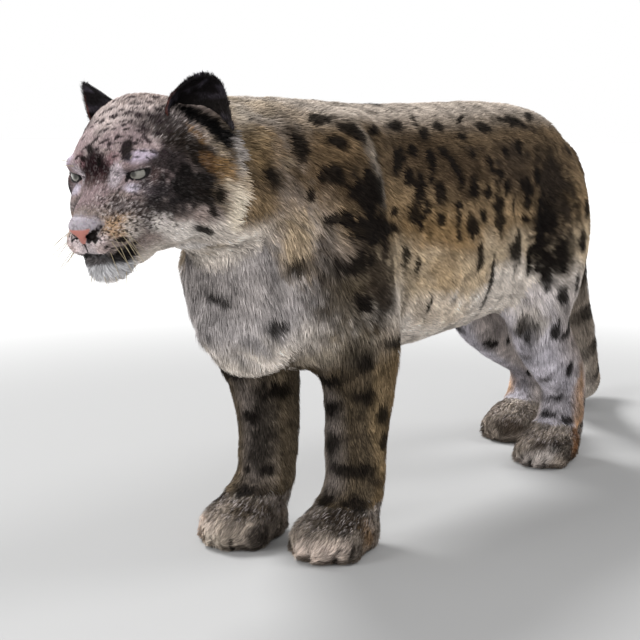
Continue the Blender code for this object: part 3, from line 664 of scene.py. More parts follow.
def cloud(places, size, seed):
    """A soft random pattern from 0 to 1, whose lumps are about one size across."""
    spot = places / size + seed * 17.31
    cell = np.floor(spot).astype(np.int64)
    part = spot - cell
    part = part * part * (3 - 2 * part)
    total = np.zeros(len(places))
    for dx in (0, 1):
        for dy in (0, 1):
            for dz in (0, 1):
                key = key_of(cell + np.array((dx, dy, dz)))
                key = (key ^ (key >> 13)) * 1274126177 & 0x7FFFFFFF
                value = ((key ^ (key >> 16)) & 0xFFFF) / 65535.0
                weight = np.abs(1 - dx - part[:, 0]) * np.abs(1 - dy - part[:, 1]) * np.abs(1 - dz - part[:, 2])
                total += value * weight
    return total


print("middle grey of a screen, as a surface:", rgb(128, 128, 128).round(3))

# %% [markdown]
# Black blotches first, from the shoulder to the haunch, then softer ones on the chest and legs, and smoky clouds
# around the darkest places. Between the blotches of the flank lie many small flecks, which are thrown at random
# where there is room, since nobody would miss one that lies a little off.

# %% Marks of the body, as they show in the picture
SHOULDER_MARKS = [
    (320, 119, 12, 6, 0), (303, 150, 8, 19, 0), (338, 142, 10, 7, 0), (332, 178, 11, 11, 0), (312, 196, 5, 7, 0),
    (356, 132, 16, 6, 30), (370, 192, 14, 25, 0), (373, 228, 22, 15, 0), (344, 218, 14, 7, 0),
    (356, 264, 20, 10, -25), (366, 304, 12, 10, 0),
]
FLANK_MARKS = [
    (394, 124, 9, 6, 0), (377, 128, 6, 6, 0), (438, 125, 8, 5, 0), (484, 127, 8, 6, 0), (510, 120, 14, 5, 0),
    (398, 160, 7, 13, 10), (430, 158, 6, 8, 0), (444, 152, 5, 6, 0), (455, 166, 18, 5, 50), (475, 186, 6, 14, 0),
    (489, 192, 4, 7, 0), (420, 188, 6, 15, 0), (440, 194, 6, 12, 0), (416, 216, 7, 10, 0), (441, 220, 6, 8, 0),
    (459, 220, 3, 13, 0), (474, 228, 6, 12, 0), (484, 214, 4, 6, 0), (501, 210, 7, 24, 0), (526, 186, 8, 9, 0),
    (516, 208, 3, 10, 0), (517, 250, 8, 19, 0), (481, 256, 4, 14, 0), (408, 260, 4, 13, 0), (419, 268, 3, 10, 0),
    (430, 306, 3, 12, 15), (494, 274, 3, 15, 8), (486, 300, 3, 14, 16),
]
flank_luck = np.random.default_rng(9)
for tries in range(110):
    u, v = flank_luck.uniform(384, 540), flank_luck.uniform(112, 236)
    if all(math.hypot(u - mark[0], v - mark[1]) > 12.5 for mark in FLANK_MARKS):
        sizes = flank_luck.uniform(2.5, 5), flank_luck.uniform(4, 9)
        FLANK_MARKS.append((u, v, *sizes, flank_luck.uniform(-25, 25)))
HAUNCH_MARKS = [
    (546, 220, 13, 21, 0), (562, 256, 9, 16, 0), (548, 272, 6, 19, 0), (530, 262, 4, 20, 0), (565, 298, 7, 8, 0),
    (578, 284, 4, 10, 0), (557, 330, 5, 11, 0), (570, 324, 4, 15, 15), (570, 368, 4, 8, 0), (490, 344, 8, 4, 0),
    (588, 208, 5, 12, 0), (584, 240, 5, 12, 0), (590, 280, 4, 12, 0), (539, 232, 9, 34, -4),
]
SOFT_MARKS = [
    (296, 270, 12, 9, -30), (402, 342, 13, 6, -35), (401, 366, 5, 9, 0), (278, 328, 11, 8, 0), (214, 298, 14, 7, 25),
    (328, 384, 9, 6, 0), (274, 180, 8, 12, 0),
    (230, 375, 14, 7, 0), (280, 392, 19, 10, 0), (250, 418, 10, 8, 0), (245, 470, 6, 6, 0), (268, 470, 7, 6, 0),
    (365, 362, 12, 11, 0), (327, 382, 8, 5, 0), (367, 398, 12, 9, 0), (331, 410, 6, 8, 0), (387, 415, 6, 10, 0),
    (330, 445, 6, 9, 0), (385, 442, 5, 10, 0), (355, 472, 22, 7, 0), (325, 502, 7, 9, 0), (357, 505, 15, 8, 0),
    (527, 337, 9, 13, 0), (556, 398, 8, 4, 0), (568, 422, 6, 4, 0), (545, 414, 5, 4, 0),
]
SMOKY_MARKS = [
    (550, 180, 26, 28, 0), (514, 152, 15, 16, 0), (568, 220, 14, 20, 0), (523, 330, 11, 14, 0), (526, 358, 9, 4, 0),
    (322, 246, 9, 14, 0), (372, 111, 8, 3, 0), (464, 128, 12, 5, 0), (530, 128, 12, 5, 0), (499, 162, 6, 6, 0),
    # The cloud at (390, 260), behind the upper arm, is painted shade.
    (472, 148, 12, 4, 0), (292, 130, 10, 7, 0), (392, 304, 11, 14, 0), (390, 260, 10, 22, 0), (366, 360, 14, 14, 0),
    (544, 382, 8, 4, 0), (352, 438, 14, 6, 0), (380, 482, 7, 7, 0), (268, 174, 7, 6, 0), (118, 191, 1.2, 10, 34),
    (322, 280, 4, 7, 0), (545, 225, 24, 34, 0),
]

print("marks of the body:", len(SHOULDER_MARKS), "on the shoulder,", len(FLANK_MARKS), "on the flank,",
      len(HAUNCH_MARKS), "on the haunch")

# %% [markdown]
# The crown carries rows of short streaks, and the face only a few marks, each in its place.

# %% Marks of the head, as they show in the picture
CROWN_STREAKS = [
    (132, 96, 5, 2, -20), (133, 103, 5, 2, -10), (151, 101, 5, 2, 10), (156, 96, 4, 2, 20), (129, 112, 5, 2, -15),
    (114, 116, 4, 2, -30), (139, 115, 4, 2, 0), (150, 114, 4, 2, 10), (159, 109, 4, 2, 20), (101, 121, 4, 2, -40),
    (124, 124, 4, 2, -25), (106, 129, 4, 2, -40), (142, 126, 4, 2, 0), (161, 121, 4, 2, 20), (117, 137, 4, 2, -50),
    (146, 138, 4, 2, 20), (170, 130, 4, 2, 30), (136, 143, 3, 2, 0), (158, 134, 3, 2, 30), (109, 144, 3, 2, -60),
]
crown_luck = np.random.default_rng(5)
for row, v in enumerate(range(94, 158, 7)):
    for u in range((96 if v < 118 else 72) + 6 * (row % 2), 172, 12):
        at = u + crown_luck.normal(0, 1.6), v + crown_luck.normal(0, 1.3)
        wide = crown_luck.uniform(2.8, 5.2)
        CROWN_STREAKS.append((*at, wide, 1.15, (u - 135) * 0.9 + crown_luck.normal(0, 14)))
FACE_MARKS = [
    (126.5, 151.5, 6.5, 13, 0), (89, 149, 4, 5, 0), (86.5, 250, 0.9, 5.5, -18), (83, 158, 4, 3, 20),
    (99, 163, 3, 5, 0), (214.5, 214, 5.5, 4.5, 0), (204, 231, 12, 4, 22), (222, 195, 4.5, 7.5, -15),
    (107, 248, 5, 1.5, -25), (121, 240, 6, 2, -20), (127, 180, 1.6, 3, 35),
]
print("marks of the head:", len(CROWN_STREAKS), "streaks on the crown,", len(FACE_MARKS), "marks on the face")

# %% [markdown]
# A tint is a broad, soft mark with a colour: mostly the coat's own, as the dark mask behind the eye, the golden cheek,
# the cream belly, and a few painted light and shade, named where they stand. Painting a texture by hand would do the
# same, but a list of tints can be read, changed and mirrored, and it lies on the body and not on an unwrap.

# %% Tints of the head
FACE_TINTS = [
    ((145, 128), 66, 46, 0, (186, 172, 168), 0.95),
    ((124, 132), 28, 14, -10, (142, 124, 126), 0.65),
    ((140, 165), 60, 40, 0, (158, 138, 140), 0.75),
    ((152, 122), 22, 16, 0, (98, 88, 86), 0.70),
    ((172, 126), 24, 18, 20, (44, 39, 38), 0.93),
    ((184, 144), 30, 19, 28, (36, 30, 26), 0.95),
    ((203, 158), 26, 17, 30, (28, 23, 19), 0.96),
    ((236, 148), 14, 20, 10, (62, 51, 40), 0.92),
    ((190, 110), 22, 9, 15, (11, 10, 10), 1.0),
    ((208, 120), 22, 13, 30, (10, 9, 9), 1.0),
    ((226, 134), 17, 16, 40, (10, 9, 9), 1.0),
    ((196, 133), 15, 4, 40, (112, 86, 56), 0.80),
    ((168, 160), 20, 14, 10, (36, 31, 31), 0.93),
    ((93, 168), 19, 18, 0, (36, 23, 25), 0.96),
    ((88, 182), 7, 10, 0, (66, 48, 48), 0.8),
    ((112, 158), 9, 9, 0, (136, 104, 108), 0.7),
    ((140, 155), 14, 7, -10, (202, 190, 208), 0.80),
    ((117, 173), 7, 12, 20, (216, 204, 210), 0.9),
    ((133, 187), 11, 7, 0, (208, 200, 214), 0.86),
    ((97, 196), 15, 14, 0, (146, 127, 129), 0.8),
    ((117, 202), 9, 9, 0, (72, 64, 64), 0.75),
    ((128, 208), 18, 9, -10, (106, 98, 98), 0.7),
    ((156, 176), 14, 9, 0, (84, 68, 66), 0.85),
    ((154, 191), 20, 10, 0, (84, 78, 84), 0.80),
    ((170, 190), 22, 14, 0, (40, 36, 37), 0.92),
    ((192, 184), 38, 23, 16, (18, 16, 15), 0.98),
    ((163, 207), 30, 12, 12, (34, 31, 31), 0.95),
    ((211, 162), 14, 7, 48, (84, 62, 40), 0.75),
    ((230, 172), 10, 22, -15, (118, 92, 60), 0.88),
    ((206, 192), 17, 12, 25, (26, 22, 20), 0.94),
    ((150, 222), 14, 10, 5, (72, 66, 65), 0.85),
    ((164, 225), 12, 8, 5, (122, 115, 112), 0.7),
    ((182, 234), 30, 11, 2, (216, 208, 201), 0.94),
    ((242, 211), 15, 26, 0, (212, 200, 181), 0.92),
    ((226, 202), 8, 18, -10, (112, 98, 82), 0.75),
    ((245, 150), 9, 26, -10, (140, 134, 130), 0.8),
    ((204, 250), 32, 12, 0, (222, 215, 210), 0.9),
    ((117, 226), 18, 13, 0, (174, 144, 114), 0.9),
    ((135, 230), 12, 13, 0, (190, 180, 172), 0.85),
    ((84, 224), 18, 10, 0, (168, 160, 168), 0.92),
    ((74, 246), 10, 10, 0, (204, 188, 190), 0.85),
    ((95, 247), 11, 8, -35, (216, 200, 200), 0.92),
    ((88, 253), 14, 6, 0, (208, 196, 198), 0.9),
    ((105, 250), 10, 6, -25, (176, 158, 154), 0.88),
    ((112, 272), 38, 14, -5, (186, 185, 187), 0.95),
    ((121, 256), 17, 9, -20, (16, 14, 14), 0.97),
    ((130, 252), 9, 10, -20, (18, 16, 16), 0.95),
    ((94, 262), 12, 4, 8, (84, 80, 80), 0.75),
]
print("tints of the head:", len(FACE_TINTS))

# %% Tints of the body
BODY_TINTS = [
    ((262, 150), 22, 34, 0, (102, 84, 60), 0.85),
    ((244, 112), 13, 14, 0, (152, 142, 130), 0.8),
    ((290, 112), 44, 12, 10, (128, 114, 98), 0.7),
    ((330, 165), 50, 44, 0, (92, 75, 55), 0.92),
    # Painted shade along the shoulder's rear edge.
    ((374, 212), 28, 56, -8, (34, 28, 22), 0.90),
    ((352, 300), 48, 44, 0, (57, 49, 38), 0.90),
    ((356, 345), 38, 26, 0, (84, 75, 62), 0.88),
    ((298, 242), 26, 40, 0, (160, 140, 112), 0.85),
    ((352, 255), 22, 20, 0, (112, 100, 92), 0.6),
    ((450, 165), 84, 40, 6, (64, 52, 39), 0.92),
    ((445, 232), 56, 26, 10, (124, 100, 69), 0.88),
    ((455, 274), 46, 24, 0, (162, 140, 110), 0.85),
    ((440, 312), 46, 16, 0, (212, 196, 177), 0.88),
    ((516, 165), 30, 36, 0, (66, 55, 44), 0.85),
    ((550, 196), 38, 58, 0, (20, 17, 14), 0.95),
    ((562, 258), 28, 34, 0, (44, 39, 34), 0.88),
    ((530, 318), 24, 26, 0, (160, 152, 144), 0.85),
    # Painted rim light: a pale line along the top of the shoulder's rear edge.
    ((377, 161), 8, 50, -19, (140, 131, 121), 0.62),
    # Painted shade along the lower part of the shoulder's rear edge.
    ((382, 282), 22, 54, -6, (38, 31, 25), 0.94),
    ((472, 278), 20, 24, 0, (190, 171, 144), 0.70),
    # Golden strip on the hind leg's rear edge: partly its fur, partly painted rim light.
    ((579, 410), 9, 50, -2, (172, 132, 90), 0.80),
    ((314, 360), 24, 9, 0, (146, 135, 120), 0.75),
    # Painted shade: the next two tints darken the far foreleg, which stands in the body's shadow.
    ((264, 500), 20, 24, 0, (42, 36, 31), 0.85),
    ((262, 430), 17, 80, 4, (36, 32, 28), 0.88),
    # Golden strip on the near foreleg's rear edge: partly its fur, partly painted rim light.
    ((380, 432), 9, 80, -2, (130, 111, 84), 0.75),
    ((560, 404), 28, 20, 0, (136, 130, 132), 0.60),
    ((564, 312), 16, 16, 0, (118, 112, 108), 0.75),
    ((322, 260), 22, 30, 24, (76, 66, 56), 0.62),
    # Painted shade in the crease behind the shoulder.
    ((401, 298), 8, 38, 0, (92, 82, 68), 0.55),
    ((540, 246), 10, 18, 0, (18, 16, 14), 0.85),
]
print("tints of the body:", len(BODY_TINTS))

# %% Tints of the paws, and where the face is speckled
PAW_TINTS = [
    ((338, 522), 38, 17, 6, (50, 42, 33), 0.95),
    # Golden strip on the near fore paw's rear edge: partly its fur, partly painted rim light.
    ((369, 538), 10, 16, 0, (140, 108, 72), 0.75),
    ((318, 553), 36, 12, 0, (204, 188, 177), 0.9),
    ((244, 512), 30, 13, 0, (66, 56, 44), 0.90),
    ((210, 543), 24, 12, 0, (206, 193, 178), 0.92),
    ((260, 532), 11, 15, 0, (56, 50, 46), 0.88),
    ((548, 448), 28, 12, 0, (54, 46, 40), 0.92),
    ((536, 463), 24, 8, 0, (180, 171, 165), 0.88),
    # Golden strip on the near hind paw's rear edge: partly its fur, partly painted rim light.
    ((577, 438), 8, 22, 0, (172, 122, 78), 0.85),
    ((508, 428), 20, 12, 0, (70, 60, 52), 0.92),
    ((500, 441), 14, 6, 0, (150, 139, 130), 0.8),
    # Painted shade: thin dark lines in the clefts between the toes.
    ((311, 558), 2.8, 11, 0, (40, 34, 30), 0.92),
    ((335, 560), 2.8, 11, 0, (40, 34, 30), 0.92),
    ((354, 554), 2.6, 10, 8, (40, 34, 30), 0.92),
    ((214, 546), 2.4, 9, 0, (40, 34, 30), 0.92),
    ((232, 548), 2.6, 9, 0, (40, 34, 30), 0.92),
    ((530, 464), 2.0, 6, 0, (40, 34, 30), 0.9),
    ((544, 465), 2.0, 6, 0, (40, 34, 30), 0.9),
]
SPECKLED = [
    ((92, 168), 22, 18, 0), ((122, 206), 30, 17, 0), ((156, 178), 18, 14, 0), ((120, 228), 24, 13, 0),
    ((176, 132), 22, 20, 0), ((152, 190), 22, 12, 0), ((154, 220), 18, 10, 0),
]
print("tints of the paws:", len(PAW_TINTS))

# %% Lay each mark on the body


def lay(u, v, half_wide, half_tall, tilt):
    """A mark as its middle, its two half axes and its facing, on the surface, or None where it misses."""
    middle_at, facing, node = seen(u, v)
    if middle_at is None:
        return None
    turn = math.radians(tilt)
    axes = []
    for du, dv in ((math.cos(turn), math.sin(turn)), (-math.sin(turn), math.cos(turn))):
        half = half_wide if not axes else half_tall
        flat = np.array(camera.matrix_world.to_3x3() @ Vector((du, -dv, 0)))
        away = np.linalg.norm(middle_at - np.array(CAMERA_PLACE)) / FOCAL_PIXELS
        reach = flat - facing * (flat @ facing)
        stretch = 1.0 / max(np.linalg.norm(reach), 0.45)
        axes.append(reach / np.linalg.norm(reach) * half * away * min(stretch, 2.0))
    return [middle_at, axes[0], axes[1], facing, node]


def other_side(mark):
    """The same mark on the other side of the animal, moved with the leg it lies on, and a little changed."""
    middle_at, wide, tall = mark[:3]
    name = node_names[mark[4]]
    if name.startswith(("head", "jaw", "nose")):
        flip = np.array(HEAD_TURN) @ np.diag((1.0, -1.0, 1.0)) @ np.array(HEAD_TURN).T
        place = flip @ (middle_at - np.array(HEAD_AT)) + np.array(HEAD_AT)
    else:
        flip = np.diag((1.0, -1.0, 1.0))
        place = flip @ (middle_at - np.array(BODY_AT)) + np.array(BODY_AT)
        low = 1 - eased(place[2], 0.10, 0.42)
        place = place + np.array((0.027 if "foreleg" in name else -0.128, 0, 0)) * (low if "leg" in name else 0)
        place = place + (cloud(place[None, :], 0.01, 5)[0] - 0.5) * np.array((0.02, 0, 0.02))
    at, face, index = solid_tree.find_nearest(Vector(place))[:3]
    return [np.array(at), flip @ wide, flip @ tall, np.array(face), owner[index]]


def in_view(mark):
    """True where a mark lies open to the camera."""
    to_camera = (np.array(CAMERA_PLACE) - mark[0]) / np.linalg.norm(np.array(CAMERA_PLACE) - mark[0])
    start = Vector(mark[0] + mark[3] * 0.004)
    return mark[3] @ to_camera > 0.05 and solid_tree.ray_cast(start, Vector(to_camera))[0] is None


def lay_all(table, hide_twins=True):
    """Every mark of a table, on the side that is seen and, where the picture doesn't tell otherwise, on the other."""
    laid = [mark for mark in (lay(*row) for row in table) if mark is not None]
    twin_marks = []
    for mark in laid:
        name, side = node_names[mark[4]], to_body(mark[0][None, :])[0, 1]
        if "right" not in name and side > 0.03 or name.startswith(("head", "nose", "jaw")):
            twin_marks.append(other_side(mark))
    return laid + [mark for mark in twin_marks if not (hide_twins and in_view(mark))]


black_marks, soft_marks = lay_all(SHOULDER_MARKS + FLANK_MARKS + HAUNCH_MARKS + FACE_MARKS), lay_all(SOFT_MARKS)
streak_marks = lay_all(CROWN_STREAKS)
smoky_marks = lay_all(SMOKY_MARKS)


def lay_tints(table, hide_twins):
    """Every tint of a table as a mark with its colour and its share."""
    laid = []
    for (u, v), wide, tall, tilt, colour, share in table:
        laid.extend((mark, rgb(*colour), share) for mark in lay_all([(u, v, wide, tall, tilt)], hide_twins))
    return laid


face_tints = lay_tints(FACE_TINTS, False)
body_tints, paw_tints = lay_tints(BODY_TINTS, True), lay_tints(PAW_TINTS, True)
speckled = lay_all([(u, v, wide, tall, tilt) for (u, v), wide, tall, tilt in SPECKLED])
print("marks:", len(black_marks), "black,", len(streak_marks), "streaks,", len(smoky_marks), "smoky")

# %% [markdown]
# The picture shows one side only. The places that neither it nor its mirror image reaches, such as the rump, the
# inner legs and the chest's far side, get spots of the same kinds, thrown at random and kept six centimetres apart.

# %% Spots where the picture shows none
SPOT_GAP = 0.062
SPOT_HALF = (0.0075, 0.0135)


def spare_spots(tries, seed):
    """Extra spots on the parts of the body that carry no mark yet."""
    chance = np.random.default_rng(seed)
    mesh = skin.data
    taken = [mark[0] for mark in black_marks + soft_marks + smoky_marks]
    made = []
    for index in chance.choice(len(mesh.polygons), tries, replace=False):
        face = mesh.polygons[index]
        place, facing = np.array(face.center), np.array(face.normal)
        name = node_names[skin_nodes[index]]
        if name.startswith(("head", "jaw", "nose", "neck", "tail")) or "paw" in name or facing[2] < -0.6:
            continue
        to_camera = CAMERA_PLACE - Vector(place)
        open_sight = solid_tree.ray_cast(Vector(place + facing * 0.02), to_camera.normalized())[0] is None
        if facing @ np.array(to_camera.normalized()) > 0.15 and open_sight:
            continue
        gap = SPOT_GAP * (0.72 if "leg" in name else 1.0)
        if np.linalg.norm(np.array(taken) - place, axis=1).min() < gap:
            continue
        wide = np.cross(facing, (0.3, 0.2, 1.0))
        wide /= np.linalg.norm(wide)
        tall = np.cross(facing, wide)
        sizes = chance.uniform(*SPOT_HALF, 2) * (0.75 if "leg" in name else 1.15)
        made.append([place, wide * sizes[0], tall * sizes[1], facing, skin_nodes[index]])
        taken.append(place)
    return made


black_marks += spare_spots(2600, 11)
print("black marks with the spare ones:", len(black_marks))

# %% [markdown]
# Painting asks for each point how far it lies from a mark, measured in the mark's own width and height, and covers
# its colour by a share that falls off towards the edge. Soft clouds are added to the distance, so that the edge runs
# unevenly, as hair of two colours does where it meets.

# %% Paint with marks


def paint(colour, places, marks, ink, share, inner, outer, wobble):
    """Lays marks of one kind over the colours of some places."""
    uneven = (cloud(places, 0.007, 3) - 0.5) * wobble + (cloud(places, 0.016, 9) - 0.5) * wobble
    for middle_at, wide, tall, facing, _ in marks:
        reach = (np.linalg.norm(wide) + np.linalg.norm(tall)) * 1.5 + 0.004
        near = np.flatnonzero(np.abs(places - middle_at).max(axis=1) < reach)
        if len(near) == 0:
            continue
        away = places[near] - middle_at
        across = away @ wide / (wide @ wide)
        along = away @ tall / (tall @ tall)
        deep = away @ facing / max(0.040, min(np.linalg.norm(wide), np.linalg.norm(tall)))
        distance = np.sqrt(across**2 + along**2 + deep**2) + uneven[near]
        held = (share * (1 - eased(distance, inner, outer)))[:, None]
        colour[near] = blend(colour[near], ink, held)


first_mark, ink_there = black_marks[0], np.zeros((1, 3))
paint(ink_there, first_mark[0][None, :], [first_mark], np.ones(3), 1.0, 0.7, 1.4, 0.0)
print("ink in the middle of the first mark:", ink_there[0, 0])

# %% [markdown]
# Under the marks lies a ground colour: grey along the spine, golden brown on the upper flank, cream below and nearly
# white under the belly and the chin, and dark on the forelegs, partly as painted shade. The tail is banded, and the
# head is pinkish grey with a dark mask behind the eyes. Clouds of several sizes break each of them up, because no
# patch of real fur has one even colour.

# %% Ground colour of the coat
GREY_BACK, BROWN_BACK, GOLDEN = rgb(150, 140, 130), rgb(84, 70, 54), rgb(120, 98, 70)
CREAM, BELLY, CHEST = rgb(172, 155, 131), rgb(206, 196, 186), rgb(150, 145, 145)
LEG_GOLD, LEG_DARK_AND_SHADE, LEG_LILAC = rgb(128, 107, 78), rgb(76, 66, 53), rgb(190, 185, 192)
PAW, HOCK = rgb(160, 148, 136), rgb(160, 116, 76)
HEAD_GREY, SPECK_DARK, SPECK_PALE = rgb(140, 126, 120), rgb(46, 38, 36), rgb(206, 196, 194)
INK, STREAK_INK, SMOKE, EAR_INK = rgb(20, 17, 15), rgb(46, 38, 40), rgb(46, 39, 33), rgb(26, 23, 24)
BRIGHTNESS = (0.2126, 0.7152, 0.0722)
TAIL_BAND, TAIL_TIP = 0.075, (0.88, 0.93)
TAIL_LINE = [
    (-0.350, 0.0, 0.518), (-0.474, -0.007, 0.440), (-0.503, -0.018, 0.355), (-0.528, -0.024, 0.265),
    (-0.566, -0.028, 0.182), (-0.612, -0.042, 0.114), (-0.664, -0.064, 0.075), (-0.720, -0.092, 0.062),
    (-0.776, -0.122, 0.074), (-0.822, -0.148, 0.110), (-0.846, -0.164, 0.156),
]


def along_tail(places):
    """For each place the distance along the tail, and the tail's direction there."""
    body, line = to_body(places), np.array(TAIL_LINE)
    runs = np.diff(line, axis=0)
    starts = np.concatenate(([0], np.cumsum(np.linalg.norm(runs, axis=1))))
    best, distance, heading = np.full(len(places), 9.0), np.zeros(len(places)), np.zeros((len(places), 3))
    for start, run, before in zip(line, runs, starts):
        t = np.clip((body - start) @ run / (run @ run), 0, 1)
        gap = np.linalg.norm(body - start - t[:, None] * run, axis=1)
        closer = gap < best
        best = np.where(closer, gap, best)
        distance = np.where(closer, before + t * np.linalg.norm(run), distance)
        heading[closer] = run / np.linalg.norm(run)
    return distance, heading


def lay_over(colour, ink, share):
    """Covers every colour by its own share of one ink."""
    return blend(colour, ink, np.asarray(share)[:, None])


def ground_colour(places, normals, nodes):
    """The coat's colour at each place, without its marks."""
    body, head = to_body(places), to_head(places)
    side = np.sign(body[:, 1])
    height = body[:, 2] + 0.05 * (cloud(places, 0.045, 1) - 0.5)
    up, out = normals[:, 2], normals[:, 1] * side
    low = 1 - eased(height, 0.25, 0.34)
    fore, hind = is_of(nodes, "foreleg") * low, is_of(nodes, "hindleg") * (1 - eased(height, 0.20, 0.36))
    behind = eased(-normals[:, 0] + 0.5 * out, 0.1, 0.9)
    paw, tail, neck = is_of(nodes, "forepaw", "hindpaw"), is_of(nodes, "tail"), is_of(nodes, "neck")
    of_head = is_of(nodes, "head", "jaw", "nose")
    layers = (
        (CREAM, eased(height, 0.315, 0.365)),
        (GOLDEN, eased(height, 0.375, 0.43) * 0.85),
        (BROWN_BACK, eased(height, 0.45, 0.50) * 0.9),
        (GREY_BACK, eased(up, 0.50, 0.92) * eased(height, 0.44, 0.52)),
        (CHEST, eased(body[:, 0], 0.36, 0.43) * eased(normals[:, 0], -0.1, 0.5) * 0.9),
        (BELLY, eased(-up, 0.25, 0.7) * (body[:, 2] > 0.2)),
        # The forelegs' dark ground is partly their fur and partly painted shade.
        (LEG_DARK_AND_SHADE, fore),
        (LEG_LILAC, fore * eased(normals[:, 0] - 0.4 * out, 0.60, 1.15) * 0.12),
        (LEG_GOLD, fore * behind * 0.8),
        (LEG_LILAC, hind),
        (LEG_GOLD, hind * behind * 0.6),
        (CREAM, (fore * 0.15 + hind * 0.45) * eased(-out, 0.3, 0.9)),
        (HOCK, is_of(nodes, "hindleg") * behind * (1 - eased(height, 0.07, 0.12)) * 0.6),
        (PAW, paw * (1 - eased(body[:, 2], 0.055, 0.075))),
        (blend(GREY_BACK, BROWN_BACK, 0.6), tail * 0.9),
        (BELLY, tail * eased(-up, 0.2, 0.8) * 0.6),
        (HEAD_GREY, of_head),
        (CREAM, of_head * eased(-head[:, 0], 0.07, 0.11) * eased(-head[:, 2], -0.03, 0.02) * 0.85),
        (BELLY, of_head * eased(-head[:, 2], 0.075, 0.10)),
        (CREAM, neck * eased(cloud(places, 0.03, 12), 0.45, 0.7) * 0.5),
    )
    colour = np.tile(BELLY, (len(places), 1))
    for ink, share in layers:
        colour = lay_over(colour, ink, share)
    return colour


# %% [markdown]
# Over the ground colour come the tints, then fine speckles on the face and the tops of the paws, a mottle, the marks
# from the softest to the blackest, and the bands of the tail.

# %% The coat's colour with its marks


def share_of(places, marks, inner, outer, wobble):
    """How far each place lies within any of some marks."""
    share = np.zeros((len(places), 3))
    paint(share, places, marks, np.ones(3), 1.0, inner, outer, wobble)
    return share[:, 0]


def tinted(colour, places, chosen, tints, inner=0.35, outer=1.25):
    """Lays broad tints over the chosen places."""
    inside = np.flatnonzero(chosen)
    part = colour[inside]
    for mark, ink, share in tints:
        paint(part, places[inside], [mark], ink, share, inner, outer, 0.4)
    colour[inside] = part


def coat_colour(places, normals, nodes):
    """The coat's colour at each place, with its marks."""
    colour = ground_colour(places, normals, nodes)
    of_head, tail = is_of(nodes, "head", "jaw", "nose"), is_of(nodes, "tail")
    on_paw = is_of(nodes, "forepaw", "hindpaw")
    tinted(colour, places, ~of_head & ~on_paw, body_tints)
    tinted(colour, places, of_head, face_tints, 0.50, 1.22)
    tinted(colour, places, on_paw, paw_tints)
    fine, finer = cloud(places, 0.0032, 21), cloud(places, 0.0017, 22)
    loud = 0.22 + 0.78 * share_of(places, speckled, 0.6, 1.3, 0.4)
    bright = eased(colour @ np.array(BRIGHTNESS), 0.02, 0.12)
    worm = np.abs(fine - 0.5) + 0.35 * (finer - 0.5)
    height = to_body(places)[:, 2]
    tops = on_paw * eased(height, 0.025, 0.05) * (1 - eased(height, 0.058, 0.076))
    for ink, share in (
        (SPECK_DARK, of_head * loud * (1 - eased(worm, 0.02, 0.13)) * 0.90 * bright),
        (SPECK_PALE, of_head * loud * eased(finer, 0.58, 0.78) * (0.10 + 0.44 * bright)),
        (SPECK_DARK, tops * eased(fine, 0.50, 0.70) * 0.55),
        (SPECK_PALE, tops * eased(finer, 0.60, 0.80) * 0.55),
    ):
        colour = lay_over(colour, ink, share)
    mottle = (cloud(places, 0.016, 23) - 0.5) + 0.6 * (cloud(places, 0.007, 24) - 0.5)
    colour = colour * (1 + np.where(of_head, 0.35, 0.85) * mottle)[:, None]
    paint(colour, places, smoky_marks, SMOKE, 0.72, 0.20, 1.30, 0.5)
    paint(colour, places, black_marks, INK, 0.95, 0.70, 1.42, 0.7)
    paint(colour, places, soft_marks, INK, 0.92, 0.42, 1.55, 0.7)
    paint(colour, places, streak_marks, STREAK_INK, 0.92, 0.60, 1.40, 0.5)
    distance = along_tail(places)[0]
    band = np.cos(2 * math.pi * (distance + 0.012 * (cloud(places, 0.03, 31) - 0.5)) / TAIL_BAND)
    top = eased(normals[:, 2] + 0.35, -0.3, 0.3)
    colour = lay_over(colour, INK, tail * eased(band, -0.2, 0.6) * (0.25 + 0.6 * top) * eased(distance, 0.10, 0.18))
    return lay_over(colour, INK, tail * eased(distance, *TAIL_TIP) * 0.85)


flank = np.array([on_body(0.0, 0.15, 0.45)])
flank_facing, flank_node = np.array([(0.0, 1.0, 0.0)]), nearest_node(flank)
print("a spot on the flank is coloured", coat_colour(flank, flank_facing, flank_node)[0].round(3))

# %% [markdown]
# Some of the skin is bare: the leather of the nose, the rims of the lids and the lips. These places carry no hair,
# get a colour and a shine of their own, and are found by how near they lie to the strokes made above. The nostrils
# are painted near black, as painted shade inside their openings.

# %% Bare skin
LEATHER, VELVET, NOSTRIL_SHADE = rgb(184, 122, 112), rgb(160, 153, 160), rgb(26, 19, 19)
LIP_INK, RIM_INK = rgb(28, 23, 23), rgb(16, 13, 13)


def unpressed_points(mesh):
    """Where the points of a mesh lay before the strokes of the face were pressed in."""
    if "unpressed" not in mesh.attributes:
        return points_of(mesh)
    return rows_of(mesh.attributes["unpressed"].data, "vector")


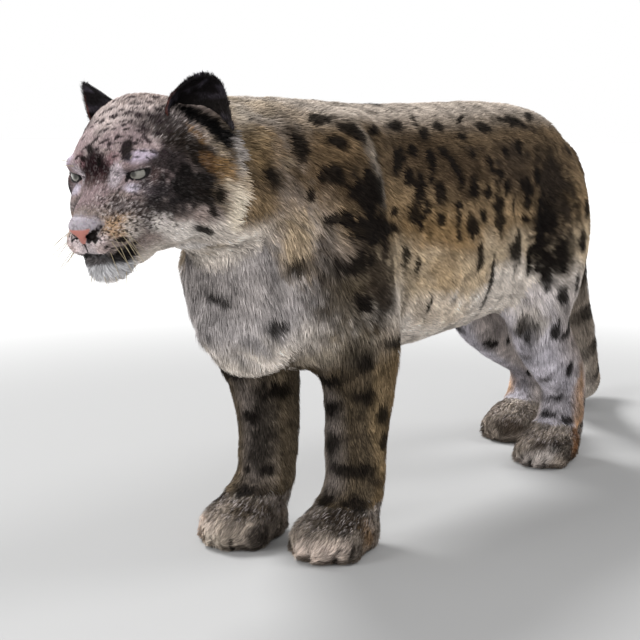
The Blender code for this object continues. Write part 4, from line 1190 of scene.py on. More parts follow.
def bare_skin(places):
    """The share of bare skin at each unpressed place, with its colour."""
    local = to_head(places)
    on_right = local[:, 1] < 0
    local[:, 1] = np.abs(local[:, 1])
    colour = np.tile(VELVET, (len(places), 1))
    half = np.interp(-local[:, 2], (0.034, 0.037, 0.043, 0.049, 0.055), (0.0125, 0.0115, 0.0074, 0.0036, 0.0006))
    leather = eased(local[:, 0], 0.0590, 0.0620) * eased(-local[:, 2], 0.0340, 0.0355)
    leather = leather * (1 - eased(-local[:, 2], 0.0545, 0.0560)) * (1 - eased(local[:, 1] - half, 0.0, 0.0012))
    velvet = eased(local[:, 0], 0.0460, 0.0560) * eased(local[:, 2], -0.0400, -0.0370) * 0.5
    velvet = velvet * (1 - eased(local[:, 2] + local[:, 1] * 0.5, -0.0260, -0.0150))
    gaps = []
    for spot, facing, size in zip(NOSTRIL, NOSTRIL_FACING, NOSTRIL_SIZES):
        away = local - np.array(spot)
        deep = away @ facing
        gaps.append(np.linalg.norm(away - deep[:, None] * facing, axis=1) - size + (np.abs(deep) > 0.008) * 1.0)
    nostril = 1 - eased(np.minimum.reduce(gaps) + on_right * RIGHT_NOSTRIL_LESS, -0.0006, 0.0006)
    lip = 1 - eased(gap_to(local, MOUTH), 0.0018, 0.0034)
    rim = np.zeros(len(places))
    for side in (1, -1):
        in_eye = eye_local(places, side)
        near = (in_eye[:, 0] > 0) & (np.linalg.norm(in_eye, axis=1) < 0.030)
        tear = np.hypot(in_eye[:, 1] + side * (ALMOND_HALF + 0.0015), (in_eye[:, 2] + 0.002) * 0.7) < 0.0028
        rim = np.maximum(rim, near * (1 - eased(outside_almond(in_eye), 0.0014, 0.0027)))
        rim = np.maximum(rim, near * tear)
    colour = lay_over(colour, LEATHER, leather)
    colour = lay_over(colour, LIP_INK, eased(lip, 0.0, 0.4))
    # Painted shade: the nostril openings are near black.
    colour = lay_over(colour, NOSTRIL_SHADE, nostril)
    colour = lay_over(colour, RIM_INK, eased(rim, 0.0, 0.4))
    return np.maximum.reduce([leather, velvet, nostril, lip, rim]), colour


print("bare points:", int((bare_skin(unpressed_points(skin.data))[0] > 0.5).sum()))

# %% [markdown]
# ## The lie of the hair
#
# Hair runs from the nose back over the head, down the neck and chest, back along the body, down the legs and out
# along the tail. It could be combed by hand on guide hairs. Here a direction is worked out for every root from where
# it stands, turned a little by soft clouds so that neighbours swirl together, and laid flat on the skin.

# %% Direction of the hair


def flat_unit(heading, normals):
    """Directions laid flat on the skin, each one long."""
    heading = heading - normals * (heading * normals).sum(axis=1)[:, None]
    return heading / np.maximum(np.linalg.norm(heading, axis=1), 1e-6)[:, None]


def set_rows(heading, share, wanted):
    """Turns the directions towards a wanted one by a share for each row."""
    return blend(heading, np.asarray(wanted), np.asarray(share, float)[:, None])


def lie(places, normals, nodes):
    """The way that the hair lies at each place."""
    body, head = to_body(places), to_head(places)
    heading = np.tile((-1.0, 0.0, -0.15), (len(places), 1))
    heading = set_rows(heading, 1 - eased(np.abs(normals[:, 2]), 0.35, 0.9), (-0.85, 0.0, -0.60))
    heading = set_rows(heading, eased(normals[:, 0], 0.15, 0.6) * (body[:, 0] > 0.2), (-0.25, 0.0, -1.0))
    leg = is_of(nodes, "foreleg", "hindleg") * (1 - eased(body[:, 2], 0.24, 0.36))
    heading = set_rows(heading, leg, (-0.25, 0.0, -1.0))
    paw = is_of(nodes, "forepaw", "hindpaw")
    one, none = np.ones(len(places)), np.zeros(len(places))
    outward = np.stack((one, none, -0.75 * eased(body[:, 2], 0.008, 0.030)), axis=1)
    heading = np.where(paw[:, None], outward, heading)
    heading = np.where(is_of(nodes, "tail")[:, None], along_tail(places)[1], heading)
    from_nose = head - np.array((0.082, 0.0, -0.046))
    from_nose /= np.linalg.norm(from_nose, axis=1)[:, None]
    cheek = eased(np.abs(head[:, 1]), 0.035, 0.07) * eased(-head[:, 2], -0.05, 0.03)
    from_nose = set_rows(from_nose, cheek * 0.75, (-0.60, 0.0, -0.80))
    from_nose[:, 1] += np.sign(head[:, 1]) * cheek * 0.25
    of_head = is_of(nodes, "head", "jaw", "nose")
    heading = np.where(of_head[:, None], from_nose @ np.array(HEAD_TURN).T, heading)
    for axis, seed in enumerate((41, 42, 43)):
        swirl = (cloud(places, 0.045, seed) - 0.5) * 0.6 + (cloud(places, 0.012, seed + 5) - 0.5) * 0.5
        heading[:, axis] += swirl * np.where(of_head, 0.40, np.where(paw, 0.5, 0.65))
    return flat_unit(heading, normals)


print("hair on the flank points", lie(flank, flank_facing, flank_node)[0].round(2))

# %% [markdown]
# ## The coat
#
# Hair curves would be the usual way to grow a coat, but they are lines and no solid shape. Here a tuft is a thin blade
# of three triangles: two at its foot and one that runs out to its tip. It stands for a few hairs that lie together.
# There are nearly half a million of them, so each region's tufts are one joined mesh, written from arrays. They are
# closest and smallest on the face, where the hair is shortest.

# %% How dense and how wide the tufts are
DENSITY_SHARE = 1.0
CLUMP_BODY, CLUMP_FACE = 0.0062, 0.0036
HAIR_STEPS = (0.0040, 0.0070, 0.0100, 0.0120, 0.0160, 0.0230)
TUFTS_PER_SQUARE_METRE = (1150e3, 800e3, 420e3, 320e3, 270e3, 260e3)


def tuft_density(places):
    """Tufts for each square metre of skin."""
    length = hair_length(places)
    return DENSITY_SHARE * np.interp(length, HAIR_STEPS, TUFTS_PER_SQUARE_METRE)


def tuft_width(length):
    """The width of a tuft for its length."""
    return np.interp(length, (0.0040, 0.010, 0.016, 0.023), (0.00060, 0.0010, 0.00125, 0.0014))


print("tufts for each square centimetre, from the nose to the tail:", [round(n / 1e4) for n in TUFTS_PER_SQUARE_METRE])

# %% [markdown]
# Roots are thrown at random on the triangles of the skin, by area, and none stands where the skin is bare. Each root
# also keeps its place on an unwrap of the skin's own shape, so that a picture of the coat could be baked there.

# %% Scatter roots over a patch of skin


def cut_out(source, chosen, title):
    """A copy of the chosen faces of a skin, unwrapped by its own shape."""
    patch = bpy.data.objects.new(title, source.data.copy())
    bpy.context.scene.collection.objects.link(patch)
    select_faces(patch, ~chosen)
    bpy.ops.mesh.delete(type="FACE")
    bpy.ops.mesh.select_all(action="SELECT")
    bpy.ops.uv.smart_project(angle_limit=math.radians(66), island_margin=0.004)
    bpy.ops.object.mode_set(mode="OBJECT")
    return patch


def scatter(patch, face_nodes, chance, crowd):
    """Random roots where a patch isn't bare: their places, facings, solids and places on the unwrap."""
    mesh = patch.data
    mesh.calc_loop_triangles()
    count = len(mesh.loop_triangles)
    corners_of = rows_of(mesh.loop_triangles, "vertices", 3, np.int32)
    loops_of = rows_of(mesh.loop_triangles, "loops", 3, np.int32)
    face_of = rows_of(mesh.loop_triangles, "polygon_index", 1, np.int32)[:, 0]
    points, normals, before = points_of(mesh), normals_of(mesh), unpressed_points(mesh)
    unwrap = rows_of(mesh.uv_layers[0].data, "uv", 2)
    a, b, c = (points[corners_of[:, i]] for i in range(3))
    area = np.linalg.norm(np.cross(b - a, c - a), axis=1) / 2
    wanted = area * tuft_density((a + b + c) / 3) * crowd
    number = int(wanted.sum())
    hit = chance.choice(count, number, p=wanted / wanted.sum())
    one, two = chance.random(number), chance.random(number)
    over = one + two > 1
    one, two = np.where(over, 1 - one, one)[:, None], np.where(over, 1 - two, two)[:, None]
    share = (1 - one - two, one, two)

    def between(values, corner_rows):
        """Values kept at the corners, at the places that were hit inside the triangles."""
        return sum(values[corner_rows[hit, i]] * share[i] for i in range(3))

    place, facing, spot = between(points, corners_of), between(normals, corners_of), between(unwrap, loops_of)
    bare = bare_skin(between(before, corners_of))[0]
    keep = bare < chance.uniform(0.10, 0.45, number)
    facing /= np.linalg.norm(facing, axis=1)[:, None]
    return place[keep], facing[keep], face_nodes[face_of[hit]][keep], spot[keep]


areas = rows_of(skin.data.polygons, "area", 1)[:, 0]
expected = int(areas @ tuft_density(face_middles(skin.data)))
print("skin to cover:", round(areas.sum(), 2), "square metres, with about", expected, "tufts")

# %% Build the tufts of a region
PATCH_HALF = 0.0015


def blades(title, rows, spots, tones):
    """One mesh of many tufts from the five points, the unwrap places and the three tones of each."""
    number = len(rows)
    mesh = bpy.data.meshes.new(title)
    mesh.vertices.add(number * 5)
    mesh.vertices.foreach_set("co", rows.astype(np.float32).ravel())
    first = np.arange(number)[:, None] * 5
    corner_list = (first + np.array((0, 1, 3, 2, 2, 3, 4))[None, :]).ravel()
    mesh.loops.add(number * 7)
    mesh.loops.foreach_set("vertex_index", corner_list.astype(np.int32))
    mesh.polygons.add(number * 2)
    starts = (np.arange(number)[:, None] * 7 + np.array((0, 4))[None, :]).ravel()
    mesh.polygons.foreach_set("loop_start", starts.astype(np.int32))
    mesh.update(calc_edges=True)
    layer = mesh.uv_layers.new(name="OFBake")
    offsets = np.array(((-1, -1), (1, -1), (1, 0), (-1, 0), (-1, 0), (1, 0), (0, 1))) * PATCH_HALF
    inside = np.clip(spots, 0.002, 0.998)
    layer.data.foreach_set("uv", (inside[:, None, :] + offsets[None, :, :]).astype(np.float32).ravel())
    paint_layer = mesh.color_attributes.new("coat", "BYTE_COLOR", "POINT")
    full = np.ones((number, 5, 4), np.float32)
    full[:, :, :3] = np.clip(tones[:, (0, 0, 1, 1, 2), :], 0, 1)
    paint_layer.data.foreach_set("color", full.ravel())
    piece = bpy.data.objects.new(title, mesh)
    bpy.context.scene.collection.objects.link(piece)
    mesh.validate()
    return piece


print("triangles of the coat, at three for each tuft: about", 3 * expected)

# %% [markdown]
# A tuft rises a little from the skin and bends back to lie along it. Tufts that share a small cell lean their tips
# together and share a tone, as real fur does, and every tuft is darker at its foot, where less light gets in.

# %% Grow one region


def lean_together(places, cell, seed):
    """The cell that each root shares with its neighbours, and the middle of the roots in it."""
    warp = np.stack([cloud(places, cell * 1.5, seed + i) for i in range(3)], axis=1) * cell * 1.6
    group = np.unique(key_of(np.floor((places + warp) / cell).astype(np.int64)), return_inverse=True)[1]
    size = np.bincount(group)
    middle_of = np.stack([np.bincount(group, places[:, i]) / size for i in range(3)], axis=1)
    return group, middle_of[group]


def grow(title, patch, face_nodes, seed, colour_of=coat_colour, way_of=lie, cell=CLUMP_BODY, gather=0.45, scale=1.0):
    """Grows the coat of one patch of skin as one piece."""
    chance = np.random.default_rng(seed)
    place, facing, nodes, spot = scatter(patch, face_nodes, chance, 1 / scale)
    number = len(place)
    way = way_of(place, facing, nodes)
    length = scale * hair_length(place) * chance.uniform(0.70, 1.15, number) * (0.8 + 0.4 * cloud(place, 0.02, 51))
    width = tuft_width(length) * chance.uniform(0.8, 1.25, number)
    low = 1 - eased(place[:, 2], 0.05, 0.10)
    lift = (1 + 0.55 * low) * (0.16 + 0.12 * chance.random(number) + 0.16 * cloud(place, 0.015, 52))
    jitter = chance.normal(0, 0.10, (number, 3))
    way = flat_unit(way + jitter, facing)
    group, heart = lean_together(place, cell, 61)
    rise, settle = (lift * 1.5)[:, None], (lift * 0.35)[:, None]
    half = (length / 2)[:, None]
    bend = place + half * (way * np.cos(rise) + facing * np.sin(rise))
    tip = bend + half * (way * np.cos(settle) + facing * np.sin(settle))
    pull = (heart - place) - facing * ((heart - place) * facing).sum(axis=1)[:, None]
    limit = np.minimum(1.0, (length * 0.35) / np.maximum(np.linalg.norm(pull, axis=1), 1e-6))[:, None]
    tip += pull * gather * limit
    bend += pull * gather * 0.33 * limit
    across = np.cross(facing, tip - place)
    across *= (width / 2 / np.maximum(np.linalg.norm(across, axis=1), 1e-6))[:, None]
    foot = place - facing * 0.0004
    rows = np.stack((foot - across, foot + across, bend - across * 0.85, bend + across * 0.85, tip), axis=1)
    rows[:, :, 2] = np.maximum(rows[:, :, 2], 0.0006)
    colour = colour_of(place + way * half, facing, nodes)
    bright = np.clip(colour.mean(axis=1) / 0.35, 0, 1)
    tone = np.exp(chance.normal(0, 1, number) * (0.34 - 0.14 * bright))
    tone *= 1 + (np.random.default_rng(seed + 1).random(group.max() + 1)[group] - 0.5) * (0.34 - 0.16 * bright)
    colour = colour * np.clip(tone, 0.45, 1.9)[:, None]
    root = (0.42 + 0.36 * bright)[:, None]
    tones = np.stack((colour * root, colour * 0.98, colour * (1.12 + 0.06 * bright)[:, None]), axis=1)
    piece = blades(title, rows, spot, tones)
    bpy.data.objects.remove(patch)
    print(title, number, "tufts")
    return piece


print("tips lean together within", round(CLUMP_FACE * 1000, 1), "mm on the face and", round(CLUMP_BODY * 1000, 1),
      "mm on the body")

# %% [markdown]
# The skin is parted into regions, so that no piece of the coat grows too heavy for the programs that read it. Each
# region is cut from a copy of the skin, unwrapped by its own shape and grown over.
# region is cut from a copy of the skin, unwrapped by its own shape and grown over.

# %% Grow the coat on the body
FACE_REACH, SHOULDER_FROM, RUMP_TO = 0.098, 0.12, -0.16
face_places = face_middles(skin.data)
in_head, in_body = to_head(face_places), to_body(face_places)
head_faces = is_of(skin_nodes, "head", "jaw", "nose")
front_face = head_faces & (np.linalg.norm(in_head - FACE_HAIR_MIDDLE, axis=1) < FACE_REACH)
torso_faces = is_of(skin_nodes, "torso")
left_side = in_body[:, 1] > 0
trunk = {
    "shoulder": torso_faces & (in_body[:, 0] > SHOULDER_FROM),
    "flank": torso_faces & (in_body[:, 0] <= SHOULDER_FROM) & (in_body[:, 0] > RUMP_TO),
    "rump": torso_faces & (in_body[:, 0] <= RUMP_TO),
}


def halves(word, chosen, on_left):
    """The left and the right half of a region."""
    return {f"coat_{word}_left": chosen & on_left, f"coat_{word}_right": chosen & ~on_left}


REGIONS = halves("face", front_face, in_head[:, 1] > 0) | halves("ruff", head_faces & ~front_face, in_head[:, 1] > 0)
REGIONS["coat_neck"] = is_of(skin_nodes, "neck")
for word, chosen in trunk.items():
    REGIONS |= halves(word, chosen, left_side)
for limb in ("fore", "hind"):
    for side in ("left", "right"):
        REGIONS[f"coat_{limb}leg_{side}"] = is_of(skin_nodes, f"{limb}leg_{side}", f"{limb}paw_{side}")
REGIONS["coat_tail"] = is_of(skin_nodes, "tail")
coats = []
for number, (title, chosen) in enumerate(REGIONS.items()):
    patch = cut_out(skin, chosen, title + "_patch")
    cell = CLUMP_FACE if "face" in title else CLUMP_BODY
    gather = 0.22 if "face" in title else 0.42
    coats.append(grow(title, patch, skin_nodes[chosen], 100 + number * 7, cell=cell, gather=gather))
print("tufts on the body:", sum(len(coat.data.polygons) for coat in coats) // 2)

# %% Grow the coat on the ears
EAR_LILAC, EAR_RED, EAR_PALE = rgb(74, 69, 78), rgb(96, 58, 50), rgb(120, 112, 106)


def ear_colour(places, normals, nodes):
    """Dark fur on the ear, with a lilac sheen inside, a reddish front rim and a pale tuft at its foot."""
    local = to_head(places)
    colour = np.tile(EAR_INK, (len(places), 1))
    colour = lay_over(colour, EAR_LILAC, eased(cloud(places, 0.008, 71), 0.45, 0.85) * 0.60)
    facing = normals @ np.array(HEAD_TURN)
    colour = lay_over(colour, EAR_RED, eased(facing[:, 0], 0.3, 0.9) * (1 - eased(-local[:, 0], 0.080, 0.095)) * 0.7)
    colour = lay_over(colour, EAR_PALE, (1 - eased(local[:, 2], 0.022, 0.050)) * eased(facing[:, 0], 0.0, 0.5) * 0.1)
    return colour


def ear_lie(places, normals, nodes):
    """Up to the tip of the ear, and out to its rims."""
    local = to_head(places)
    heading = np.tile((-0.12, 0.0, 1.0), (len(places), 1))
    heading[:, 0] += (local[:, 0] + 0.108) * 9.0
    return flat_unit(heading @ np.array(HEAD_TURN).T, normals)


for number, (word, ear) in enumerate(ears.items()):
    everywhere = np.ones(len(ear.data.polygons), bool)
    patch = cut_out(ear, everywhere, "ear_patch")
    none = np.zeros(len(everywhere), int)
    coats.append(grow("coat_ear_" + word, patch, none, 300 + number * 7, ear_colour, ear_lie, CLUMP_FACE, 0.3, 0.42))

# %% [markdown]
# ## Finish of skin and coat
#
# The colours worked out above are kept on the meshes themselves, as an attribute. The skin's material adds pores and
# the grain of fine hair as bump, and shines only where the skin is bare. The coat's material is dry, with hardly any
# shine: a real coat swallows most of the light that falls between its hairs, and a glossy one looks wet or pale.

# %% Colour of the skin
UNDERCOAT_SHADE = 0.80


def write_colours(mesh, colour, bare):
    """Keeps the colour and the share of bare skin on a mesh."""
    layer = mesh.color_attributes.new("coat", "FLOAT_COLOR", "POINT")
    full = np.ones((len(mesh.vertices), 4), np.float32)
    full[:, :3] = np.clip(colour, 0, 1)
    layer.data.foreach_set("color", full.ravel())
    share = mesh.attributes.new("bare", "FLOAT", "POINT")
    share.data.foreach_set("value", bare.astype(np.float32))


places_now = points_of(skin.data)
bare_share, bare_colour = bare_skin(unpressed_points(skin.data))
point_nodes = nearest_node(places_now)
under = coat_colour(places_now, normals_of(skin.data), point_nodes) * UNDERCOAT_SHADE
write_colours(skin.data, blend(under, bare_colour, bare_share[:, None]), bare_share)
for ear in ears.values():
    spots = points_of(ear.data)
    ear_under = ear_colour(spots, normals_of(ear.data), None) * UNDERCOAT_SHADE
    write_colours(ear.data, ear_under, np.zeros(len(spots)))
pick(skin, *ears.values())
bpy.ops.object.join()
skin.name = "skin"
skin.data.name = "skin"
skin.data.shade_smooth()
print("skin:", sum(len(f.vertices) - 2 for f in skin.data.polygons), "triangles")

# %% [markdown]
# Both materials are small trees of nodes. The helpers below add a node, set it and link it in one line each.

# %% Helpers for materials


def new_material(title, **sockets):
    """A material with its shader's own sockets set, and the parts needed to add to it."""
    material = bpy.data.materials.new(title)
    material.use_nodes = True
    nodes, links = material.node_tree.nodes, material.node_tree.links
    shader = nodes["Principled BSDF"]
    for key, value in sockets.items():
        shader.inputs[key.replace("_", " ")].default_value = value
    return material, nodes, links, shader


def add_node(nodes, kind, **inputs):
    """Adds a node and sets its inputs by name."""
    node = nodes.new(kind)
    for key, value in inputs.items():
        node.inputs[key.replace("_", " ")].default_value = value
    return node


def attribute(nodes, title):
    """A node that reads an attribute of the mesh."""
    node = nodes.new("ShaderNodeAttribute")
    node.attribute_name = title
    return node


def feed(links, socket, value):
    """Links a socket to another one, or sets it to a constant."""
    if isinstance(value, bpy.types.NodeSocket):
        links.new(value, socket)
    else:
        socket.default_value = value


def ranged(nodes, links, value, low, high, start=0.0, end=1.0):
    """A value that runs from low to high while another one runs from start to end."""
    node = add_node(nodes, "ShaderNodeMapRange", From_Min=start, From_Max=end, To_Min=low, To_Max=high)
    feed(links, node.inputs["Value"], value)
    return node


def mixed(nodes, links, factor, one, two, how="MIX"):
    """Two colours, blended by a factor or multiplied."""
    node = nodes.new("ShaderNodeMix")
    node.data_type, node.blend_type = "RGBA", how
    for index, value in ((0, factor), (6, one), (7, two)):
        feed(links, node.inputs[index], value)
    return node.outputs[2]


def in_place(nodes, links, kind, **inputs):
    """A texture that lies still in the piece's own axes."""
    where, texture = nodes.new("ShaderNodeTexCoord"), add_node(nodes, kind, **inputs)
    links.new(where.outputs["Object"], texture.inputs["Vector"])
    return texture


print("helpers for materials are ready")

# %% Finish of the skin and the coat


def skin_material():
    """Fine short hair and skin, with leather where it is bare."""
    material, nodes, links, shader = new_material("skin_under_coat", Specular_IOR_Level=0.12)
    coat, bare = attribute(nodes, "coat"), attribute(nodes, "bare")
    pores = in_place(nodes, links, "ShaderNodeTexVoronoi", Scale=900.0)
    hairs = in_place(nodes, links, "ShaderNodeTexNoise", Scale=700.0, Detail=4.0, Roughness=0.7)
    height = nodes.new("ShaderNodeMix")
    for index, source in ((0, bare.outputs["Fac"]), (2, hairs.outputs["Fac"]), (3, pores.outputs["Distance"])):
        links.new(source, height.inputs[index])
    bump = add_node(nodes, "ShaderNodeBump", Strength=0.45, Distance=0.0008)
    links.new(height.outputs[0], bump.inputs["Height"])
    links.new(bump.outputs["Normal"], shader.inputs["Normal"])
    gloss = ranged(nodes, links, bare.outputs["Fac"], 0.85, 0.38)
    links.new(gloss.outputs["Result"], shader.inputs["Roughness"])
    colour = mixed(nodes, links, 0.35, coat.outputs["Color"], hairs.outputs["Color"], "MULTIPLY")
    links.new(colour, shader.inputs["Base Color"])
    return material


def coat_material():
    """Dry, soft hair, with hardly any shine."""
    material, nodes, links, shader = new_material("coat_hair", Roughness=0.72, Specular_IOR_Level=0.02)
    coat = attribute(nodes, "coat")
    fine = in_place(nodes, links, "ShaderNodeTexNoise", Scale=420.0, Detail=2.0)
    tone = ranged(nodes, links, fine.outputs["Fac"], 0.80, 1.20)
    colour = mixed(nodes, links, 1.0, coat.outputs["Color"], tone.outputs["Result"], "MULTIPLY")
    links.new(colour, shader.inputs["Base Color"])
    return material


skin.data.materials.clear()
skin.data.materials.append(skin_material())
hair = coat_material()
for coat in coats:
    coat.data.materials.append(hair)
print("finishes:", skin.data.materials[0].name, "and", hair.name, "on", len(coats), "pieces of coat")

# %% [markdown]
# ## The eyes
#
# The eyeball is a ball whose front bulges a little, as the clear cornea does. A picture of an iris could be laid on
# it. Here its mesh keeps, at each point, where that point lies around the direction of gaze, and the material draws
# the pupil, the iris with its fine rays, the dark rim and a painted shade under the lid and at the inner corner from
# that alone.

# %% Eyeballs
GAZE_OUTWARD, GAZE_UPWARD = math.radians(8), math.radians(8)
IRIS_SHARE, PUPIL_SHARE = 0.80, 0.12
IRIS_RINGS = [(PUPIL_SHARE, 0.30), (PUPIL_SHARE + 0.14, 1.0), (IRIS_SHARE - 0.06, 0.9), (IRIS_SHARE, 0.02)]
IRIS_PALE, IRIS_GREEN = rgb(146, 144, 136), rgb(98, 96, 89)


def eyeball(word, side):
    """One eye, looking where the head does."""
    centre = on_head(EYE_PLACE[0], side * EYE_PLACE[1], EYE_PLACE[2])
    gaze = HEAD_TURN @ Matrix.Rotation(side * GAZE_OUTWARD, 3, "Z") @ Matrix.Rotation(-GAZE_UPWARD, 3, "Y")
    bpy.ops.object.select_all(action="DESELECT")
    bpy.ops.mesh.primitive_uv_sphere_add(segments=64, ring_count=40, radius=EYE_RADIUS)
    eye = bpy.context.object
    eye.name = "eyeball_" + word
    eye.rotation_euler = (0, math.radians(90), 0)
    bpy.ops.object.transform_apply(rotation=True)
    local = points_of(eye.data)
    unit = local / EYE_RADIUS
    off_axis = np.hypot(unit[:, 1], unit[:, 2])
    bulge = np.where(unit[:, 0] > 0, 0.05 * (1 - eased(off_axis, 0.0, 0.66)), 0.0)
    local = local * (1 + bulge)[:, None] * 0.985
    layer = eye.data.attributes.new("gaze", "FLOAT_VECTOR", "POINT")
    layer.data.foreach_set("vector", (unit * (1, side, 1)).astype(np.float32).ravel())
    move_points(eye.data, local @ np.array(gaze).T + np.array(centre))
    eye.data.shade_smooth()
    return eye


def turned_vector(nodes, links, source, kind):
    """A vector's length or direction."""
    node = nodes.new("ShaderNodeVectorMath")
    node.operation = kind
    links.new(source, node.inputs[0])
    return node.outputs["Value" if kind == "LENGTH" else "Vector"]


def eye_material():
    """A wet eye: pale iris with rays, a small pupil, a dark rim, and painted shade under the upper lid and at the
    inner corner.
    """
    material, nodes, links, shader = new_material(
        "eye_wet", Roughness=0.12, Specular_IOR_Level=0.15, Coat_Weight=0.25, Coat_Roughness=0.02
    )
    gaze, apart, flat = attribute(nodes, "gaze"), nodes.new("ShaderNodeSeparateXYZ"), nodes.new("ShaderNodeCombineXYZ")
    links.new(gaze.outputs["Vector"], apart.inputs[0])
    for axis in (1, 2):
        links.new(apart.outputs[axis], flat.inputs[axis])
    rays = add_node(nodes, "ShaderNodeTexNoise", Scale=9.0, Detail=5.0)
    links.new(turned_vector(nodes, links, flat.outputs[0], "NORMALIZE"), rays.inputs["Vector"])
    iris = mixed(nodes, links, rays.outputs["Fac"], (*IRIS_PALE, 1), (*IRIS_GREEN, 1))
    ramp = nodes.new("ShaderNodeValToRGB")
    rings = ramp.color_ramp.elements
    for number, (position, tone) in enumerate(IRIS_RINGS):
        ring = rings[number] if number < 2 else rings.new(position)
        ring.position, ring.color = position, (tone, tone, tone, 1)
    links.new(turned_vector(nodes, links, flat.outputs[0], "LENGTH"), ramp.inputs["Fac"])
    # Painted shade: the iris darkens towards the upper lid and towards the inner corner.
    inward = nodes.new("ShaderNodeMath")
    inward.operation = "MULTIPLY_ADD"
    inward.inputs[1].default_value = -0.5
    links.new(apart.outputs[1], inward.inputs[0])
    links.new(apart.outputs[2], inward.inputs[2])
    lid_shade = ranged(nodes, links, inward.outputs[0], 1.0, 0.30, -0.12, 0.18)
    ringed = mixed(nodes, links, 1.0, iris, ramp.outputs["Color"], "MULTIPLY")
    shaded = mixed(nodes, links, 1.0, ringed, lid_shade.outputs["Result"], "MULTIPLY")
    links.new(shaded, shader.inputs["Base Color"])
    return material


eyes = {word: eyeball(word, side) for word, side in (("left", 1), ("right", -1))}
wet = eye_material()
for eye in eyes.values():
    eye.data.materials.append(wet)
print("eyes:", len(eyes))

# %% [markdown]
# ## Whiskers
#
# Whiskers are stiff single hairs in rows on the upper lip, with a few on the chin and above the eyes. They stand
# free of the coat and are seen one by one, so a blade wouldn't do: each is drawn as a thin curve that starts outwards
# and droops, and gets a round, tapered body. Then all are made one mesh.

# %% Whiskers
WHISKER_ROOTS = [
    (0.052, 0.0245, -0.0500), (0.046, 0.0280, -0.0510), (0.039, 0.0315, -0.0520),
    (0.055, 0.0230, -0.0570), (0.048, 0.0290, -0.0585), (0.041, 0.0325, -0.0600), (0.034, 0.0360, -0.0610),
    (0.056, 0.0220, -0.0640), (0.049, 0.0290, -0.0660), (0.042, 0.0325, -0.0675), (0.035, 0.0355, -0.0680),
]
CHIN_ROOTS = [(0.058, 0.006, -0.096), (0.050, 0.014, -0.098), (0.040, 0.020, -0.098), (0.028, 0.024, -0.097)]
BROW_ROOTS = [(0.006, 0.0300, 0.0120), (0.000, 0.0380, 0.0130)]
CHIN_WAY, BROW_WAY = Vector((0.25, 0.30, -1.0)), Vector((0.55, 0.65, 0.5))
WHISKER_STEPS, WHISKER_THICK = 9, 0.00042


def whisker(root, way, length, droop):
    """A curve from a root, out along its way and down."""
    bpy.ops.object.select_all(action="DESELECT")
    curve = bpy.data.curves.new("whisker", "CURVE")
    curve.dimensions = "3D"
    curve.bevel_depth = WHISKER_THICK
    curve.bevel_resolution = 0
    line = curve.splines.new("POLY")
    line.points.add(WHISKER_STEPS - 1)
    for step in range(WHISKER_STEPS):
        t = step / (WHISKER_STEPS - 1)
        spot = Vector(root) + Vector(way) * length * (t - 0.03) + Vector((-0.10, 0, -1)) * droop * t * t
        line.points[step].co = (*on_head(*spot), 1)
        line.points[step].radius = 1 - 0.85 * t
    holder = bpy.data.objects.new("whisker", curve)
    bpy.context.scene.collection.objects.link(holder)
    return holder


def lip_way(x, z):
    """The way a hair of the lip points: further back and further down, row by row."""
    return Vector((0.42 + (x - 0.045) * 12, 0.60, -0.40 + (z + 0.058) * 20))


whisker_luck = np.random.default_rng(77)
strands = []
for side in (1, -1):
    for roots, way_of, spread, lengths, droops in (
        (WHISKER_ROOTS, lip_way, 0.09, (0.030, 0.052), (0.006, 0.014)),
        (CHIN_ROOTS, lambda x, z: CHIN_WAY, 0.14, (0.014, 0.024), 0.001),
        (BROW_ROOTS, lambda x, z: BROW_WAY, 0.06, (0.018, 0.026), 0.003),
    ):
        for x, y, z in roots:
            place = solid_tree.find_nearest(on_head(x, side * y, z))[0]
            root = HEAD_TURN.transposed() @ (place - HEAD_AT)
            way = Vector(way_of(x, z) * Vector((1, side, 1))).normalized() + Vector(whisker_luck.normal(0, spread, 3))
            length = whisker_luck.uniform(*lengths)
            droop = whisker_luck.uniform(*droops) if isinstance(droops, tuple) else droops
            strands.append(whisker(root, way, length, droop))
pick(*strands)
bpy.ops.object.convert(target="MESH")
bpy.ops.object.join()
whiskers = bpy.context.object
whiskers.name = "whiskers"
whiskers.data.shade_smooth()
print("whiskers:", len(strands))

# %% [markdown]
# A whisker is of horn, pale with duller stretches, and shines a little more than fur does.

# %% Finish of the whiskers
HORN_PALE, HORN_DULL = rgb(170, 156, 124), rgb(132, 120, 94)
material, nodes, links, shader = new_material("whisker_horn", Roughness=0.4)
horn = in_place(nodes, links, "ShaderNodeTexNoise", Scale=90.0)
tint = mixed(nodes, links, horn.outputs["Fac"], (*HORN_PALE, 1), (*HORN_DULL, 1))
links.new(tint, shader.inputs["Base Color"])
whiskers.data.materials.append(material)
print("finish of the whiskers:", material.name)

# %% [markdown]
# ## Floor and light
#
# The animal stands on a plain floor that grows paler with distance, until it meets a white sky, which lights it softly
# from all sides. Four far lamps do the rest: a strong one beyond the animal throws its shadows towards the camera, and
# three broad, weak ones keep the rump, the face and the flank clear.

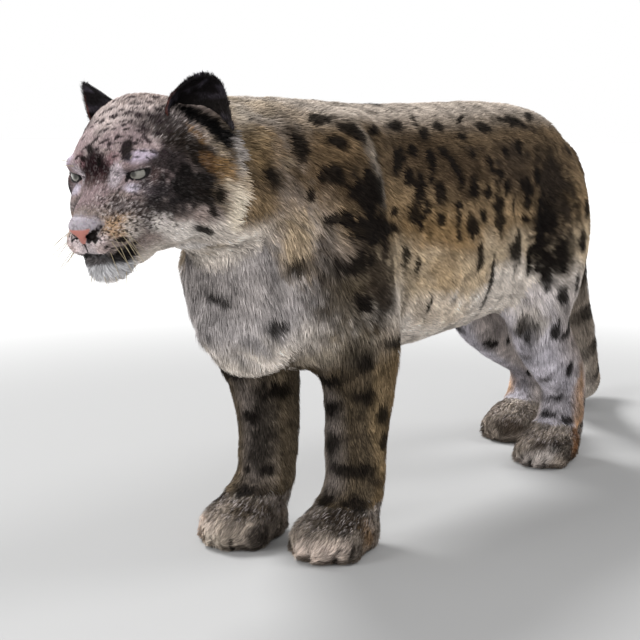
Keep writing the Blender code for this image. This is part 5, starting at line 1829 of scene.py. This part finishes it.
# %% Floor
FLOOR_NEAR, FLOOR_FAR = 0.315, 0.62
bpy.ops.object.select_all(action="DESELECT")
bpy.ops.mesh.primitive_plane_add(size=60)
floor = bpy.context.object
floor.name = "floor"
material, nodes, links, shader = new_material("floor_pale", Roughness=0.9, Specular_IOR_Level=0.1)
where = nodes.new("ShaderNodeTexCoord")
apart = turned_vector(nodes, links, where.outputs["Object"], "LENGTH")
fade = ranged(nodes, links, apart, 0.0, 1.0, 0.9, 3.0)
fade.interpolation_type = "SMOOTHSTEP"
pale = mixed(nodes, links, fade.outputs["Result"], (*[FLOOR_NEAR] * 3, 1), (*[FLOOR_FAR] * 3, 1))
links.new(pale, shader.inputs["Base Color"])
floor.data.materials.append(material)
print("floor:", FLOOR_NEAR, "near,", FLOOR_FAR, "far")

# %% Light
SKY_SHARE = 0.70
world = bpy.data.worlds.new("world")
bpy.context.scene.world = world
world.use_nodes = True
sky_nodes, sky_links = world.node_tree.nodes, world.node_tree.links
sky = sky_nodes["Background"]
sky.inputs["Color"].default_value = (1, 1, 1, 1)
path = sky_nodes.new("ShaderNodeLightPath")
strength = ranged(sky_nodes, sky_links, path.outputs["Is Camera Ray"], SKY_SHARE, 1.0)
sky_links.new(strength.outputs["Result"], sky.inputs["Strength"])


def far_lamp(title, come_from, softness, power):
    """A broad lamp far away in one direction."""
    bpy.ops.object.light_add(type="SUN", location=Vector(come_from) * 3)
    light = bpy.context.object
    light.name = title
    light.rotation_euler = Vector(come_from).to_track_quat("Z", "Y").to_euler()
    light.data.angle = math.radians(softness)
    light.data.energy = power
    return light


lamps = [
    far_lamp("lamp_behind", (-0.20, -0.85, 1.10), 20, 4.0),
    far_lamp("lamp_right", (-0.75, 0.75, 1.3), 24, 1.1),
    far_lamp("lamp_left", (1.0, -0.50, 0.80), 28, 1.2),
    far_lamp("lamp_front", (0.90, 0.50, 0.30), 50, 1.5),
]
bpy.context.scene.view_settings.view_transform = "Standard"
print("lamps:", len(lamps))

# %% [markdown]
# The solids are hidden under the skin, and each piece is given to the body that carries it.

# %% Hand the pieces over
bpy.data.objects.remove(solid_twin)
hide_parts(*FLESH)
for word, eye in eyes.items():
    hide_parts("eye_" + word)
for piece in (skin, whiskers, *eyes.values(), *coats):
    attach(piece, "root")
